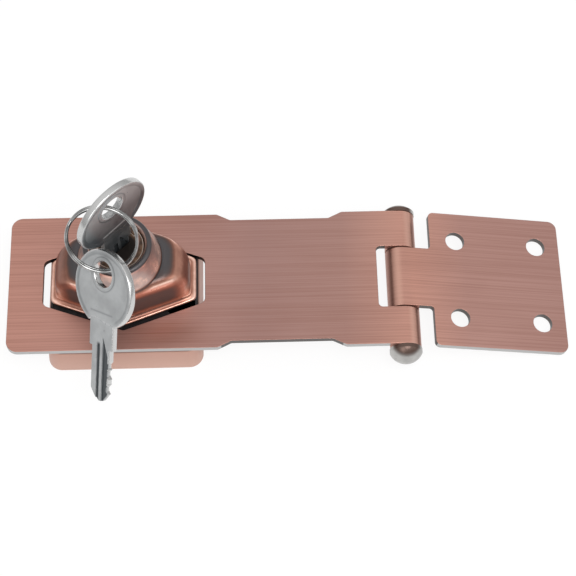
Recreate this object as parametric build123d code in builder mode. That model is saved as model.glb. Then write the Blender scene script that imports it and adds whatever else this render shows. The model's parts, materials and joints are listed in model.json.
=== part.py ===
"""Twist-knob keyed hasp: a slotted sheet arm hinged to a screw-on leaf, held over a
square lock base by a turning knob, with its key, spare key and split ring.

Frame: millimetres, +Z up out of the door, +X along the arm towards the hinge.
The origin is the centre of the lock base's mounting face, on the knob's axis.
"""
import os
from math import asin, atan2, cos, degrees, hypot, isclose, radians, sin, sqrt

from build123d import *

# Sheet-metal arm, from the knob's axis to the hinge
SHEET = 1.5
PLATE_WIDTH = 33.8
ARM_REACH = 63.4
ARM_NOSE = 26.2
NOSE_CORNER = 2.6
WAIST_WIDTH = 30.7
WAIST_FROM = 24.2
WAIST_TO = 46.9
SHOULDER_RUN = 3.1
SHOULDER_EASE = 1.2

# Long six-sided slot in the arm, and the running gap that the knob's lip has in it
SLOT_HALF_LENGTH = 18.35
SLOT_END_HALF = 5.5
SLOT_POINT_HALF = 12.2
SLOT_CORNER = 1.6
LIP_END_GAP = 1.95
LIP_POINT_GAP = 0.8
LIP_CORNER = 1.5
LIP_EDGE = 0.4

# Rolled hinge
PIN_RADIUS = 2.0
PIN_CLEARANCE = 0.05
KNUCKLE_WIDTH = 14.7
KNUCKLE_GAP = 0.35
CURL_GAP = 0.3
CUTOUT_RUN = 5.8
CUTOUT_CORNER = 1.0
TONGUE_RUN = 6.2
TONGUE_EASE = 0.8
KNUCKLE_RUN = 1.2
PIN_HEAD_RADIUS = 3.7
NEAR_HEAD_HEIGHT = 3.3
FAR_HEAD_HEIGHT = 2.5
HEAD_RIM = 0.9

# Screw-on leaf
LEAF_REACH = 37.5
LEAF_OUTER_CORNER = 2.0
LEAF_INNER_CORNER = 1.2
LEAF_HOLE_RADIUS = 2.25
LEAF_HOLE_SPACING = 19.6
LEAF_HOLE_EDGE = 5.6

# Lock base
BASE_SIZE = 35.2
BASE_HEIGHT = 7.6
BASE_CORNER = 3.2
BASE_EDGE = 1.0
BASE_WALL = 2.2
BASE_ROOF = 2.2
BASE_SCREW_SPACING = 24.4
BASE_SCREW_RADIUS = 2.1
BASE_SCREW_HEAD = 3.9
BASE_SCREW_ANGLE = 90
BASE_BOSS_RADIUS = 3.6
HUB_RADIUS = 11.6
HUB_FOOT = 1.8

# Knob: lip, tapering six-sided body, round boss, hollow spindle
LIP_LIFT = 0.25
LIP_HEIGHT = 0.8
BODY_INSET = 1.1
BODY_TAPER = 4
BODY_TOP = 20.6
BODY_END_ROUND = 5.2
BODY_POST = 3.9
BODY_POST_LEAN = 0.25
BODY_RIDGE = 2.4
BOSS_FOOT_RADIUS = 9.4
BOSS_TOP_RADIUS = 7.6
BOSS_TOP = 27.4
BOSS_LIP = 0.8
BOSS_UNDERCUT = 1.2
BOSS_FOOT_BAND = 0.6
FACE_RECESS = 1.0
FACE_CHAMFER = 0.3
HUB_DISC_RADIUS = 10.0
SPINDLE_RADIUS = 7.0
SPINDLE_BORE = 5.2
SPINDLE_FOOT = 0.5
SPINDLE_CLEARANCE = 0.05
WEB_BOTTOM = 7.4
WEB_TOP = 9.0

# Quarter-turn stop and the washers and ring that hold the spindle
STOP_PIN_RADIUS = 0.8
STOP_PIN_CIRCLE = 9.1
STOP_PIN_ANGLE = 180
STOP_PIN_RISE = 1.3
STOP_PIN_GRIP = 2.0
STOP_CLEARANCE = 0.15
KNOB_TURN = 90
THRUST_THICKNESS = 0.45
THRUST_OUTER = 8.0
WASHER_CLEARANCE = 0.1
DISC_SPRING_THICKNESS = 0.25
DISC_SPRING_OUTER = 9.4
CIRCLIP_THICKNESS = 0.6
CIRCLIP_OUTER = 9.0
CIRCLIP_GROOVE = 0.5
CIRCLIP_EDGE = 0.25
CIRCLIP_OPENING = 70
RING_CLEARANCE = 0.05

# Plug, tail, clip, cam and side bolt
PLUG_RADIUS = 6.0
PLUG_CLEARANCE = 0.05
PLUG_TURN = 45
KEY_ANGLE = 45
TAIL_RADIUS = 3.0
TAIL_GROOVE = 0.6
PLUG_CLIP_THICKNESS = 0.6
PLUG_CLIP_OUTER = 4.4
CAM_RADIUS = 4.4
CAM_THICKNESS = 0.8
CAM_SEAT = 5.9
CAM_SQUARE = 3.4
CAM_PIN_OFFSET = 2.9
CAM_PIN_RADIUS = 0.9
CAM_SCREW_RADIUS = 1.9
CAM_SCREW_HEAD = 0.9
CAM_SCREW_SHANK = 1.1
CAM_SCREW_LENGTH = 3.2
CAM_SCREW_SLOT = 0.4
BOLT_THICKNESS = 1.7
BOLT_WIDTH = 3.0
BOLT_CLEARANCE = 0.1
BOLT_PLATE = (-3.0, 1.0, -4.0)
COVER_THICKNESS = 1.3
COVER_FIT = 0.03

# Key and wafers
KEY_THICKNESS = 1.4
BOW_THICKNESS = 1.6
BOW_WIDTH = 18.4
BOW_HEIGHT = 17.4
BOW_RIM = 1.1
BOW_RELIEF = 0.15
BOW_HOLE_RADIUS = 2.85
BOW_HOLE_RISE = 3.3
SHANK_WIDTH = 7.6
SHANK_LENGTH = 6.0
STEP_DROP = 15.8
BLADE_WIDTH = 5.8
BLADE_LENGTH = 12.1
BLADE_POINT = 2.4
BLADE_POINT_HALF = 0.9
NARROW_GROOVE = 0.6
NARROW_GROOVE_SHIFT = -0.9
WIDE_GROOVE = 1.2
WIDE_GROOVE_SHIFT = 1.2
GROOVE_DEPTH = 0.35
GROOVE_RUN_OUT = 1.0
SHOULDER_STAND = 1.7
KEY_GAP = 0.12
MOUTH_DEPTH = 0.5
MOUTH_GAP = 0.5
TIP_GAP = 0.1
WAFER_COUNT = 5
WAFER_THICKNESS = 1.0
WAFER_PITCH = 1.8
WAFER_WIDTH = 4.4
WAFER_FIRST = 16.6
WAFER_GAP = 0.06
CUT_DEPTHS = (0.5, 1.0, 0.3, 0.8, 0.6)
CUT_WIDTH = 0.9
WAFER_GROOVE_RADIUS = 6.6

# Split ring and spare key: places are measured from the hole in the lock key's bow
RING_WIRE = 0.75
RING_OUTER_RADIUS = 7.9
RING_TURN_LAP = 0.04
RING_TILT = 35.75
RING_YAW = -4.0
RING_CENTRE = (-2.17, -4.37, -6.52)
SPARE_HOLE = (-1.87, -9.28, -13.06)
SPARE_LEAN = 47.5
SPARE_AZIMUTH = -96.5
SPARE_TWIST = 45.5

# Levels and sizes that follow from the ones above
arm_top = BASE_HEIGHT + SHEET
knuckle_bore = PIN_RADIUS + PIN_CLEARANCE
knuckle_radius = knuckle_bore + SHEET
pin_height = arm_top - knuckle_radius
pin_point = (ARM_REACH, 0, pin_height)
plate_half = PLATE_WIDTH / 2
cutout_half = KNUCKLE_WIDTH / 2 + KNUCKLE_GAP
leaf_hole_centre = LEAF_REACH - LEAF_HOLE_EDGE - LEAF_HOLE_SPACING / 2
leaf_edge = hypot(LEAF_REACH, knuckle_bore)
leaf_drop = degrees(asin(pin_height / leaf_edge) + atan2(knuckle_bore, LEAF_REACH))
lip_half_length = SLOT_HALF_LENGTH - LIP_END_GAP
lip_end_half = SLOT_END_HALF - 0.35 * LIP_POINT_GAP
lip_point_half = SLOT_POINT_HALF - LIP_POINT_GAP
lip_bottom = arm_top + LIP_LIFT
lip_top = lip_bottom + LIP_HEIGHT
roof_underside = BASE_HEIGHT - BASE_ROOF
plug_face = BOSS_TOP - FACE_RECESS
plug_bore = PLUG_RADIUS
plug_body = PLUG_RADIUS - PLUG_CLEARANCE
spindle_hole = SPINDLE_RADIUS + SPINDLE_CLEARANCE
thrust_top = BASE_HEIGHT + THRUST_THICKNESS
hub_disc_bottom = thrust_top + RING_CLEARANCE
mouth_floor = plug_face - MOUTH_DEPTH
key_stop = plug_face + SHOULDER_STAND
key_step = key_stop + SHANK_LENGTH
bow_top = key_step + STEP_DROP
bow_centre = bow_top - BOW_HEIGHT / 2
hole_height = bow_centre + BOW_HOLE_RISE
key_tip = key_stop - BLADE_LENGTH
cover_top = SPINDLE_FOOT + COVER_THICKNESS
bolt_bottom = cover_top + BOLT_CLEARANCE
bolt_top = bolt_bottom + BOLT_THICKNESS
bolt_stroke = 2 * CAM_PIN_OFFSET * sin(radians(PLUG_TURN / 2))
cam_pin_angle = -90 - PLUG_TURN / 2
bolt_nose = sqrt((SPINDLE_RADIUS - BOLT_CLEARANCE) ** 2 - (BOLT_WIDTH / 2) ** 2)
cam_pin_drop = CAM_PIN_OFFSET * cos(radians(PLUG_TURN / 2))
yoke_depth = CAM_PIN_RADIUS + BOLT_CLEARANCE - cam_pin_drop - BOLT_PLATE[2]
ring_radius = RING_OUTER_RADIUS - RING_WIRE / 2
circlip_bottom = SPINDLE_FOOT + CIRCLIP_EDGE
clip_bottom = WEB_BOTTOM - RING_CLEARANCE - PLUG_CLIP_THICKNESS
screw_end = CAM_SEAT - CAM_THICKNESS + CAM_SCREW_LENGTH


def plus(point, shift):
    """Return the point moved by the shift."""
    return tuple(a + b for a, b in zip(point, shift))


def corners_at(sketch, reach):
    """Return a sketch's corners at one distance along X, without those on its centre line."""
    return sketch.vertices().filter_by(lambda v: isclose(v.X, reach, rel_tol=1e-6) and abs(v.Y) > PIN_RADIUS)


def long_hexagon(half_length, end_half, point_half):
    """Draw the closed six-sided outline with short upright ends and a point front and back."""
    Polyline(
        (half_length, -end_half), (half_length, end_half), (0, point_half),
        (-half_length, end_half), (-half_length, -end_half), (0, -point_half), close=True,
    )


def rolled_sheet(run):
    """Draw sheet that arrives along -X at the top of the pin, then rolls round the pin."""
    sweep = 270 + degrees(asin((knuckle_bore - CURL_GAP) / knuckle_radius))
    outer = CenterArc((0, 0), knuckle_radius, 90, -sweep)
    inner = CenterArc((0, 0), knuckle_bore, 90, -sweep)
    Line(outer @ 1, inner @ 1)
    Polyline(inner @ 0, (-run, knuckle_bore), (-run, knuckle_radius), outer @ 0)


def upright_cylinder(radius, bottom, top, mode=Mode.ADD):
    """Extrude a round post on the knob's axis between two levels."""
    with Locations((0, 0, bottom)):
        Cylinder(radius, top - bottom, align=(Align.CENTER, Align.CENTER, Align.MIN), mode=mode)


def ring_on_axis(inner, outer, bottom, thickness, opening=0):
    """Build a flat ring on the knob's axis, open towards -Y by the given angle."""
    with BuildPart() as ring:
        with BuildSketch(Plane.XY.offset(bottom)):
            Circle(outer)
            Circle(inner, mode=Mode.SUBTRACT)
            if opening:
                spread = outer * sin(radians(opening / 2))
                Polygon((0, 0), (-spread * 2, -outer * 2), (spread * 2, -outer * 2),
                        align=None, mode=Mode.SUBTRACT)
        extrude(amount=thickness)
    return ring.part


def domed_head(seat, height, sign):
    """Draw a pin head's half outline, from its seat to its tip on the pin's axis."""
    dome_height = height - HEAD_RIM
    dome_radius = (PIN_HEAD_RADIUS**2 + dome_height**2) / (2 * dome_height)
    spread = degrees(asin(PIN_HEAD_RADIUS / dome_radius))
    centre = (0, sign * (seat + height - dome_radius))
    dome = CenterArc(centre, dome_radius, sign * 90, -sign * spread)
    Polyline(dome @ 1, (PIN_HEAD_RADIUS, sign * seat), (PIN_RADIUS, sign * seat))
    return dome @ 0


# Slotted arm: flat plate with a waist, a six-sided slot and two rolled knuckles
with BuildPart() as hasp_arm:
    with BuildSketch(Plane.XY.offset(BASE_HEIGHT)) as arm_plan:
        with BuildLine() as arm_outline:
            Polyline(
                (-ARM_NOSE, 0), (-ARM_NOSE, plate_half),
                (WAIST_FROM - SHOULDER_RUN, plate_half), (WAIST_FROM, WAIST_WIDTH / 2),
                (WAIST_TO, WAIST_WIDTH / 2), (WAIST_TO + SHOULDER_RUN, plate_half),
                (ARM_REACH - KNUCKLE_RUN, plate_half), (ARM_REACH - KNUCKLE_RUN, cutout_half),
                (ARM_REACH - CUTOUT_RUN, cutout_half), (ARM_REACH - CUTOUT_RUN, 0),
            )
            mirror(about=Plane.XZ)
        make_face()
        fillet(corners_at(arm_plan, -ARM_NOSE), NOSE_CORNER)
        for bend in (WAIST_FROM - SHOULDER_RUN, WAIST_FROM, WAIST_TO, WAIST_TO + SHOULDER_RUN):
            fillet(corners_at(arm_plan, bend), SHOULDER_EASE)
        fillet(corners_at(arm_plan, ARM_REACH - CUTOUT_RUN), CUTOUT_CORNER)
        with BuildSketch(mode=Mode.PRIVATE) as slot:
            with BuildLine():
                long_hexagon(SLOT_HALF_LENGTH, SLOT_END_HALF, SLOT_POINT_HALF)
            make_face()
            fillet(slot.vertices(), SLOT_CORNER)
        add(slot.sketch, mode=Mode.SUBTRACT)
    extrude(amount=SHEET)
    for knuckle_start in (-cutout_half, plate_half):
        knuckle_plane = Plane((ARM_REACH, knuckle_start, pin_height), x_dir=(1, 0, 0), z_dir=(0, -1, 0))
        with BuildSketch(knuckle_plane):
            with BuildLine():
                rolled_sheet(KNUCKLE_RUN)
            make_face()
        extrude(amount=plate_half - cutout_half)
hasp_arm.part.label = "hasp_arm"

# Screw-on leaf: drilled plate with one rolled knuckle, drooped until its free edge meets the floor
leaf_cos = cos(radians(leaf_drop))
leaf_sin = sin(radians(leaf_drop))
leaf_plane = Plane(pin_point, x_dir=(leaf_cos, 0, -leaf_sin), z_dir=(leaf_sin, 0, leaf_cos))
with BuildPart() as hinge_leaf:
    with BuildSketch(leaf_plane.offset(knuckle_bore)) as leaf_plan:
        with Locations((TONGUE_RUN, 0)):
            Rectangle(LEAF_REACH - TONGUE_RUN, PLATE_WIDTH, align=(Align.MIN, Align.CENTER))
        fillet(corners_at(leaf_plan, LEAF_REACH), LEAF_OUTER_CORNER)
        fillet(corners_at(leaf_plan, TONGUE_RUN), LEAF_INNER_CORNER)
        with Locations((KNUCKLE_RUN, 0)):
            Rectangle(LEAF_REACH / 2, KNUCKLE_WIDTH, align=(Align.MIN, Align.CENTER))
        tongue_roots = corners_at(leaf_plan, TONGUE_RUN).sort_by(lambda v: abs(v.Y))[:2]
        fillet(tongue_roots, TONGUE_EASE)
        with Locations((leaf_hole_centre, 0)):
            with GridLocations(LEAF_HOLE_SPACING, LEAF_HOLE_SPACING, 2, 2):
                Circle(LEAF_HOLE_RADIUS, mode=Mode.SUBTRACT)
    extrude(amount=SHEET)
    curl_start = plus(pin_point, (0, -KNUCKLE_WIDTH / 2, 0))
    with BuildSketch(Plane(curl_start, x_dir=(-leaf_cos, 0, leaf_sin), z_dir=(0, 1, 0))):
        with BuildLine():
            rolled_sheet(KNUCKLE_RUN)
        make_face()
    extrude(amount=KNUCKLE_WIDTH)
hinge_leaf.part.label = "hinge_leaf"

# Hinge pin with two domed heads, turned about the hinge axis
with BuildPart() as hinge_pin:
    with BuildSketch(Plane(pin_point, x_dir=(1, 0, 0), z_dir=(0, 0, 1))):
        with BuildLine():
            near_tip = domed_head(plate_half, NEAR_HEAD_HEIGHT, -1)
            far_tip = domed_head(plate_half, FAR_HEAD_HEIGHT, 1)
            Line((PIN_RADIUS, -plate_half), (PIN_RADIUS, plate_half))
            Line(near_tip, far_tip)
        make_face()
    revolve(axis=Axis(pin_point, (0, 1, 0)))
hinge_pin.part.label = "hinge_pin"

# Lock base: hollow square casting with screw posts and a hub for the spindle
stop_foot = roof_underside - STOP_PIN_GRIP
with BuildPart() as lock_base:
    with BuildSketch():
        RectangleRounded(BASE_SIZE, BASE_SIZE, BASE_CORNER)
    extrude(amount=BASE_HEIGHT)
    fillet(lock_base.edges().group_by(Axis.Z)[-1], BASE_EDGE)
    with BuildSketch():
        inner_size = BASE_SIZE - 2 * BASE_WALL
        RectangleRounded(inner_size, inner_size, BASE_CORNER - BASE_WALL)
    extrude(amount=roof_underside, mode=Mode.SUBTRACT)
    with BuildSketch():
        with GridLocations(BASE_SCREW_SPACING, BASE_SCREW_SPACING, 2, 2):
            Circle(BASE_BOSS_RADIUS)
    extrude(amount=roof_underside)
    upright_cylinder(HUB_RADIUS, HUB_FOOT, roof_underside)
    upright_cylinder(spindle_hole, HUB_FOOT, BASE_HEIGHT, Mode.SUBTRACT)
    pocket_reach = SPINDLE_RADIUS + bolt_stroke + 4 * BOLT_CLEARANCE
    with BuildSketch(Plane.XY.offset(HUB_FOOT)):
        for turned in (0, KNOB_TURN):
            with Locations(Location((0, 0, 0), (0, 0, turned))):
                Rectangle(
                    pocket_reach, BOLT_WIDTH + 4 * BOLT_CLEARANCE, align=(Align.MIN, Align.CENTER)
                )
    extrude(amount=bolt_top + 3 * BOLT_CLEARANCE - HUB_FOOT, mode=Mode.SUBTRACT)
    with BuildSketch(Plane.XY.offset(stop_foot)):
        with PolarLocations(STOP_PIN_CIRCLE, 1, start_angle=STOP_PIN_ANGLE):
            Circle(STOP_PIN_RADIUS)
    extrude(amount=BASE_HEIGHT - stop_foot, mode=Mode.SUBTRACT)
    with Locations(Plane.XY.offset(BASE_HEIGHT)):
        with GridLocations(BASE_SCREW_SPACING, BASE_SCREW_SPACING, 2, 2):
            CounterSinkHole(BASE_SCREW_RADIUS, BASE_SCREW_HEAD, counter_sink_angle=BASE_SCREW_ANGLE)
lock_base.part.label = "lock_base"

# Stop pin pressed into the base, which the knob's notched disc turns against
with BuildPart() as stop_pin:
    with BuildSketch(Plane.XY.offset(stop_foot)):
        with PolarLocations(STOP_PIN_CIRCLE, 1, start_angle=STOP_PIN_ANGLE):
            Circle(STOP_PIN_RADIUS)
    extrude(amount=BASE_HEIGHT + STOP_PIN_RISE - stop_foot)
stop_pin.part.label = "stop_pin"

# Turn knob: lip, tapered body with rounded ends, boss, notched disc and hollow spindle in one casting
body_foot_end = lip_half_length - BODY_INSET
body_point = lip_point_half - BODY_INSET
with BuildPart() as knob_body:
    with BuildSketch(Plane.XY.offset(lip_top)):
        with BuildLine():
            long_hexagon(body_foot_end, lip_end_half - BODY_INSET / 2, body_point)
        make_face()
    extrude(amount=BODY_TOP - lip_top, taper=BODY_TAPER)
    with BuildSketch(Plane.XZ):
        with BuildLine():
            post_top = (body_foot_end - BODY_POST_LEAN, lip_top + BODY_POST)
            shoulder = (body_foot_end - BODY_END_ROUND, BODY_TOP)
            Polyline((0, lip_top), (body_foot_end, lip_top), post_top)
            TangentArc(post_top, shoulder, tangent=(-BODY_POST_LEAN, BODY_POST))
            Polyline(shoulder, (0, BODY_TOP), (0, lip_top))
        make_face()
        mirror(about=Plane.YZ)
    extrude(amount=lip_point_half, both=True, mode=Mode.INTERSECT)
    fillet(knob_body.edges().filter_by(lambda e: e.center().Z > lip_top + LIP_EDGE), BODY_RIDGE)

with BuildPart() as turn_knob:
    with BuildSketch(Plane.XY.offset(lip_bottom)) as lip:
        with BuildLine():
            long_hexagon(lip_half_length, lip_end_half, lip_point_half)
        make_face()
        fillet(lip.vertices(), LIP_CORNER)
    extrude(amount=LIP_HEIGHT)
    fillet(turn_knob.edges().group_by(Axis.Z)[-1], LIP_EDGE)
    add(knob_body.part)
    boss_foot = BODY_TOP - BOSS_FOOT_BAND
    with BuildSketch(Plane.XZ):
        with BuildLine():
            rim_centre = (BOSS_TOP_RADIUS - BOSS_LIP, BOSS_TOP - BOSS_LIP)
            rim = CenterArc(rim_centre, BOSS_LIP, 0, 90)
            Polyline(
                rim @ 1, (0, BOSS_TOP), (0, boss_foot - BOSS_UNDERCUT),
                (BOSS_FOOT_RADIUS - BOSS_UNDERCUT, boss_foot - BOSS_UNDERCUT),
                (BOSS_FOOT_RADIUS, boss_foot), (BOSS_FOOT_RADIUS, BODY_TOP), rim @ 0,
            )
        make_face()
    revolve(axis=Axis.Z)
    upright_cylinder(HUB_DISC_RADIUS, hub_disc_bottom, lip_bottom)
    upright_cylinder(SPINDLE_RADIUS, SPINDLE_FOOT, lip_bottom)
    upright_cylinder(plug_bore, WEB_TOP, BOSS_TOP, Mode.SUBTRACT)
    upright_cylinder(TAIL_RADIUS + PLUG_CLEARANCE, WEB_BOTTOM, WEB_TOP, Mode.SUBTRACT)
    upright_cylinder(SPINDLE_BORE, SPINDLE_FOOT, WEB_BOTTOM, Mode.SUBTRACT)
    with BuildSketch(Plane.XY.offset(WAFER_FIRST - (WAFER_PITCH - WAFER_THICKNESS) / 2)):
        Rectangle(WAFER_WIDTH + 4 * PLUG_CLEARANCE, 2 * WAFER_GROOVE_RADIUS)
    extrude(amount=WAFER_COUNT * WAFER_PITCH, mode=Mode.SUBTRACT)
    with BuildSketch(Plane.XY.offset(bolt_bottom - BOLT_CLEARANCE)):
        Rectangle(2 * SPINDLE_RADIUS, BOLT_WIDTH + 2 * BOLT_CLEARANCE, align=(Align.MIN, Align.CENTER))
    extrude(amount=BOLT_THICKNESS + 2 * BOLT_CLEARANCE, mode=Mode.SUBTRACT)
    notch_edge = degrees(asin((STOP_PIN_RADIUS + STOP_CLEARANCE) / STOP_PIN_CIRCLE))
    notch_inner = STOP_PIN_CIRCLE - STOP_PIN_RADIUS - STOP_CLEARANCE
    notch_start = STOP_PIN_ANGLE - KNOB_TURN - notch_edge
    notch_sweep = KNOB_TURN + 2 * notch_edge
    with BuildSketch(Plane.XY.offset(hub_disc_bottom)):
        with BuildLine():
            inner_arc = CenterArc((0, 0), notch_inner, notch_start, notch_sweep)
            outer_arc = CenterArc((0, 0), HUB_DISC_RADIUS + STOP_CLEARANCE, notch_start, notch_sweep)
            Line(inner_arc @ 0, outer_arc @ 0)
            Line(inner_arc @ 1, outer_arc @ 1)
        make_face()
    extrude(amount=BASE_HEIGHT + STOP_PIN_RISE + STOP_CLEARANCE - hub_disc_bottom, mode=Mode.SUBTRACT)
    groove_radius = SPINDLE_RADIUS - CIRCLIP_GROOVE
    with BuildSketch(Plane.XY.offset(circlip_bottom - RING_CLEARANCE)):
        Circle(SPINDLE_RADIUS + RING_CLEARANCE)
        Circle(groove_radius, mode=Mode.SUBTRACT)
    extrude(amount=CIRCLIP_THICKNESS + 2 * RING_CLEARANCE, mode=Mode.SUBTRACT)
turn_knob.part.label = "turn_knob"

# Flat thrust washer between the base and the knob's disc
thrust_washer = ring_on_axis(SPINDLE_RADIUS + WASHER_CLEARANCE, THRUST_OUTER, BASE_HEIGHT, THRUST_THICKNESS)
thrust_washer.label = "thrust_washer"

# Dished spring washer under the base's hub, held by the ring clip in the spindle's groove
spring_foot = circlip_bottom + CIRCLIP_THICKNESS + RING_CLEARANCE
spring_rise = HUB_FOOT - RING_CLEARANCE - DISC_SPRING_THICKNESS - spring_foot
with BuildPart() as spring_washer:
    with BuildSketch(Plane.XZ):
        spring_inner = SPINDLE_RADIUS + WASHER_CLEARANCE
        Polygon(
            (spring_inner, spring_foot), (DISC_SPRING_OUTER, spring_foot + spring_rise),
            (DISC_SPRING_OUTER, spring_foot + spring_rise + DISC_SPRING_THICKNESS),
            (spring_inner, spring_foot + DISC_SPRING_THICKNESS), align=None,
        )
    revolve(axis=Axis.Z)
spring_washer.part.label = "spring_washer"

spindle_clip = ring_on_axis(
    groove_radius + RING_CLEARANCE, CIRCLIP_OUTER, circlip_bottom, CIRCLIP_THICKNESS, CIRCLIP_OPENING
)
spindle_clip.label = "spindle_clip"

# Cover pressed into the spindle's end, which carries the side bolt
with BuildPart() as spindle_cover:
    upright_cylinder(SPINDLE_BORE - COVER_FIT, SPINDLE_FOOT, cover_top)
spindle_cover.part.label = "spindle_cover"

# Lock plug: slotted for the key and the wafers, with a grooved tail that ends in a square
key_turned = Location((0, 0, 0), (0, 0, KEY_ANGLE))
with BuildPart() as lock_plug:
    upright_cylinder(plug_body, WEB_TOP + RING_CLEARANCE, plug_face)
    chamfer(lock_plug.edges().group_by(Axis.Z)[-1], FACE_CHAMFER)
    upright_cylinder(TAIL_RADIUS, CAM_SEAT, WEB_TOP + RING_CLEARANCE)
    with BuildSketch(Plane.XY.offset(CAM_SEAT - CAM_THICKNESS + RING_CLEARANCE)):
        Rectangle(CAM_SQUARE, CAM_SQUARE)
    extrude(amount=CAM_THICKNESS)
    with BuildSketch(Plane.XY.offset(clip_bottom - RING_CLEARANCE)):
        Circle(TAIL_RADIUS + RING_CLEARANCE)
        Circle(TAIL_RADIUS - TAIL_GROOVE, mode=Mode.SUBTRACT)
    extrude(amount=PLUG_CLIP_THICKNESS + 2 * RING_CLEARANCE, mode=Mode.SUBTRACT)
    upright_cylinder(CAM_SCREW_SHANK, CAM_SEAT - CAM_THICKNESS, screw_end, Mode.SUBTRACT)
    with BuildSketch(Plane.XY.offset(key_tip - TIP_GAP)):
        with Locations(key_turned):
            Rectangle(BLADE_WIDTH + 2 * KEY_GAP, KEY_THICKNESS + 2 * KEY_GAP)
    extrude(amount=plug_face - key_tip + TIP_GAP, mode=Mode.SUBTRACT)
    with BuildSketch(Plane.XY.offset(mouth_floor)):
        with Locations(key_turned):
            SlotOverall(SHANK_WIDTH + 2 * MOUTH_GAP + KEY_THICKNESS / 2, KEY_THICKNESS + 2 * MOUTH_GAP)
    extrude(amount=MOUTH_DEPTH, mode=Mode.SUBTRACT)
    for count in range(WAFER_COUNT):
        with BuildSketch(Plane.XY.offset(WAFER_FIRST + count * WAFER_PITCH - WAFER_GAP)):
            with Locations(key_turned):
                Rectangle(2 * WAFER_GROOVE_RADIUS, WAFER_WIDTH + 2 * WAFER_GAP)
        extrude(amount=WAFER_THICKNESS + 2 * WAFER_GAP, mode=Mode.SUBTRACT)
lock_plug.part.label = "lock_plug"

# Wafers: each lies across the plug round the key's blade
wafers = []
for count in range(WAFER_COUNT):
    with BuildPart() as wafer:
        with BuildSketch(Plane.XY.offset(WAFER_FIRST + count * WAFER_PITCH)):
            Circle(plug_body - PLUG_CLEARANCE)
            with Locations(key_turned):
                Rectangle(2 * PLUG_RADIUS, WAFER_WIDTH, mode=Mode.INTERSECT)
                Rectangle(BLADE_WIDTH + 2 * KEY_GAP, KEY_THICKNESS + 2 * KEY_GAP, mode=Mode.SUBTRACT)
        extrude(amount=WAFER_THICKNESS)
    wafer.part.label = f"wafer_{count + 1}"
    wafers.append(wafer.part)

plug_clip = ring_on_axis(
    TAIL_RADIUS - TAIL_GROOVE + RING_CLEARANCE, PLUG_CLIP_OUTER, clip_bottom, PLUG_CLIP_THICKNESS,
    CIRCLIP_OPENING,
)
plug_clip.label = "plug_clip"

# Cam on the tail's square, whose off-centre pin works the side bolt
cam_bottom = CAM_SEAT - CAM_THICKNESS
with BuildPart() as plug_cam:
    upright_cylinder(CAM_RADIUS, cam_bottom, CAM_SEAT)
    with BuildSketch(Plane.XY.offset(cam_bottom)):
        Rectangle(CAM_SQUARE + 2 * COVER_FIT, CAM_SQUARE + 2 * COVER_FIT)
    extrude(amount=CAM_THICKNESS, mode=Mode.SUBTRACT)
    with BuildSketch(Plane.XY.offset(bolt_bottom + BOLT_CLEARANCE)):
        with PolarLocations(CAM_PIN_OFFSET, 1, start_angle=cam_pin_angle):
            Circle(CAM_PIN_RADIUS)
    extrude(amount=cam_bottom - bolt_bottom - BOLT_CLEARANCE)
plug_cam.part.label = "plug_cam"

# Screw that holds the cam to the tail
with BuildPart() as cam_screw:
    upright_cylinder(CAM_SCREW_RADIUS, cam_bottom - CAM_SCREW_HEAD, cam_bottom)
    fillet(cam_screw.edges().group_by(Axis.Z)[0], CAM_SCREW_HEAD / 3)
    upright_cylinder(CAM_SCREW_SHANK - RING_CLEARANCE, cam_bottom, screw_end - RING_CLEARANCE)
    with BuildSketch(Plane.XY.offset(cam_bottom - CAM_SCREW_HEAD)):
        Rectangle(2 * CAM_SCREW_RADIUS, CAM_SCREW_SLOT)
    extrude(amount=CAM_SCREW_SLOT, mode=Mode.SUBTRACT)
cam_screw.part.label = "cam_screw"

# Side bolt: a yoke plate round the cam's pin with a nose that leaves through the spindle's window
with BuildPart() as side_bolt:
    plate_back, plate_front, plate_foot = BOLT_PLATE
    with BuildSketch(Plane.XY.offset(bolt_bottom)) as yoke:
        with BuildLine():
            Polyline(
                (plate_back, plate_foot), (plate_front, plate_foot), (plate_front, -BOLT_WIDTH / 2),
                (bolt_nose, -BOLT_WIDTH / 2), (bolt_nose, BOLT_WIDTH / 2),
                (plate_back, BOLT_WIDTH / 2), close=True,
            )
        make_face()
        with Locations((CAM_PIN_OFFSET * cos(radians(cam_pin_angle)), plate_foot)):
            Rectangle(
                2 * (CAM_PIN_RADIUS + BOLT_CLEARANCE), yoke_depth, align=(Align.CENTER, Align.MIN),
                mode=Mode.SUBTRACT,
            )
    extrude(amount=BOLT_THICKNESS)
side_bolt.part.label = "side_bolt"


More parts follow.
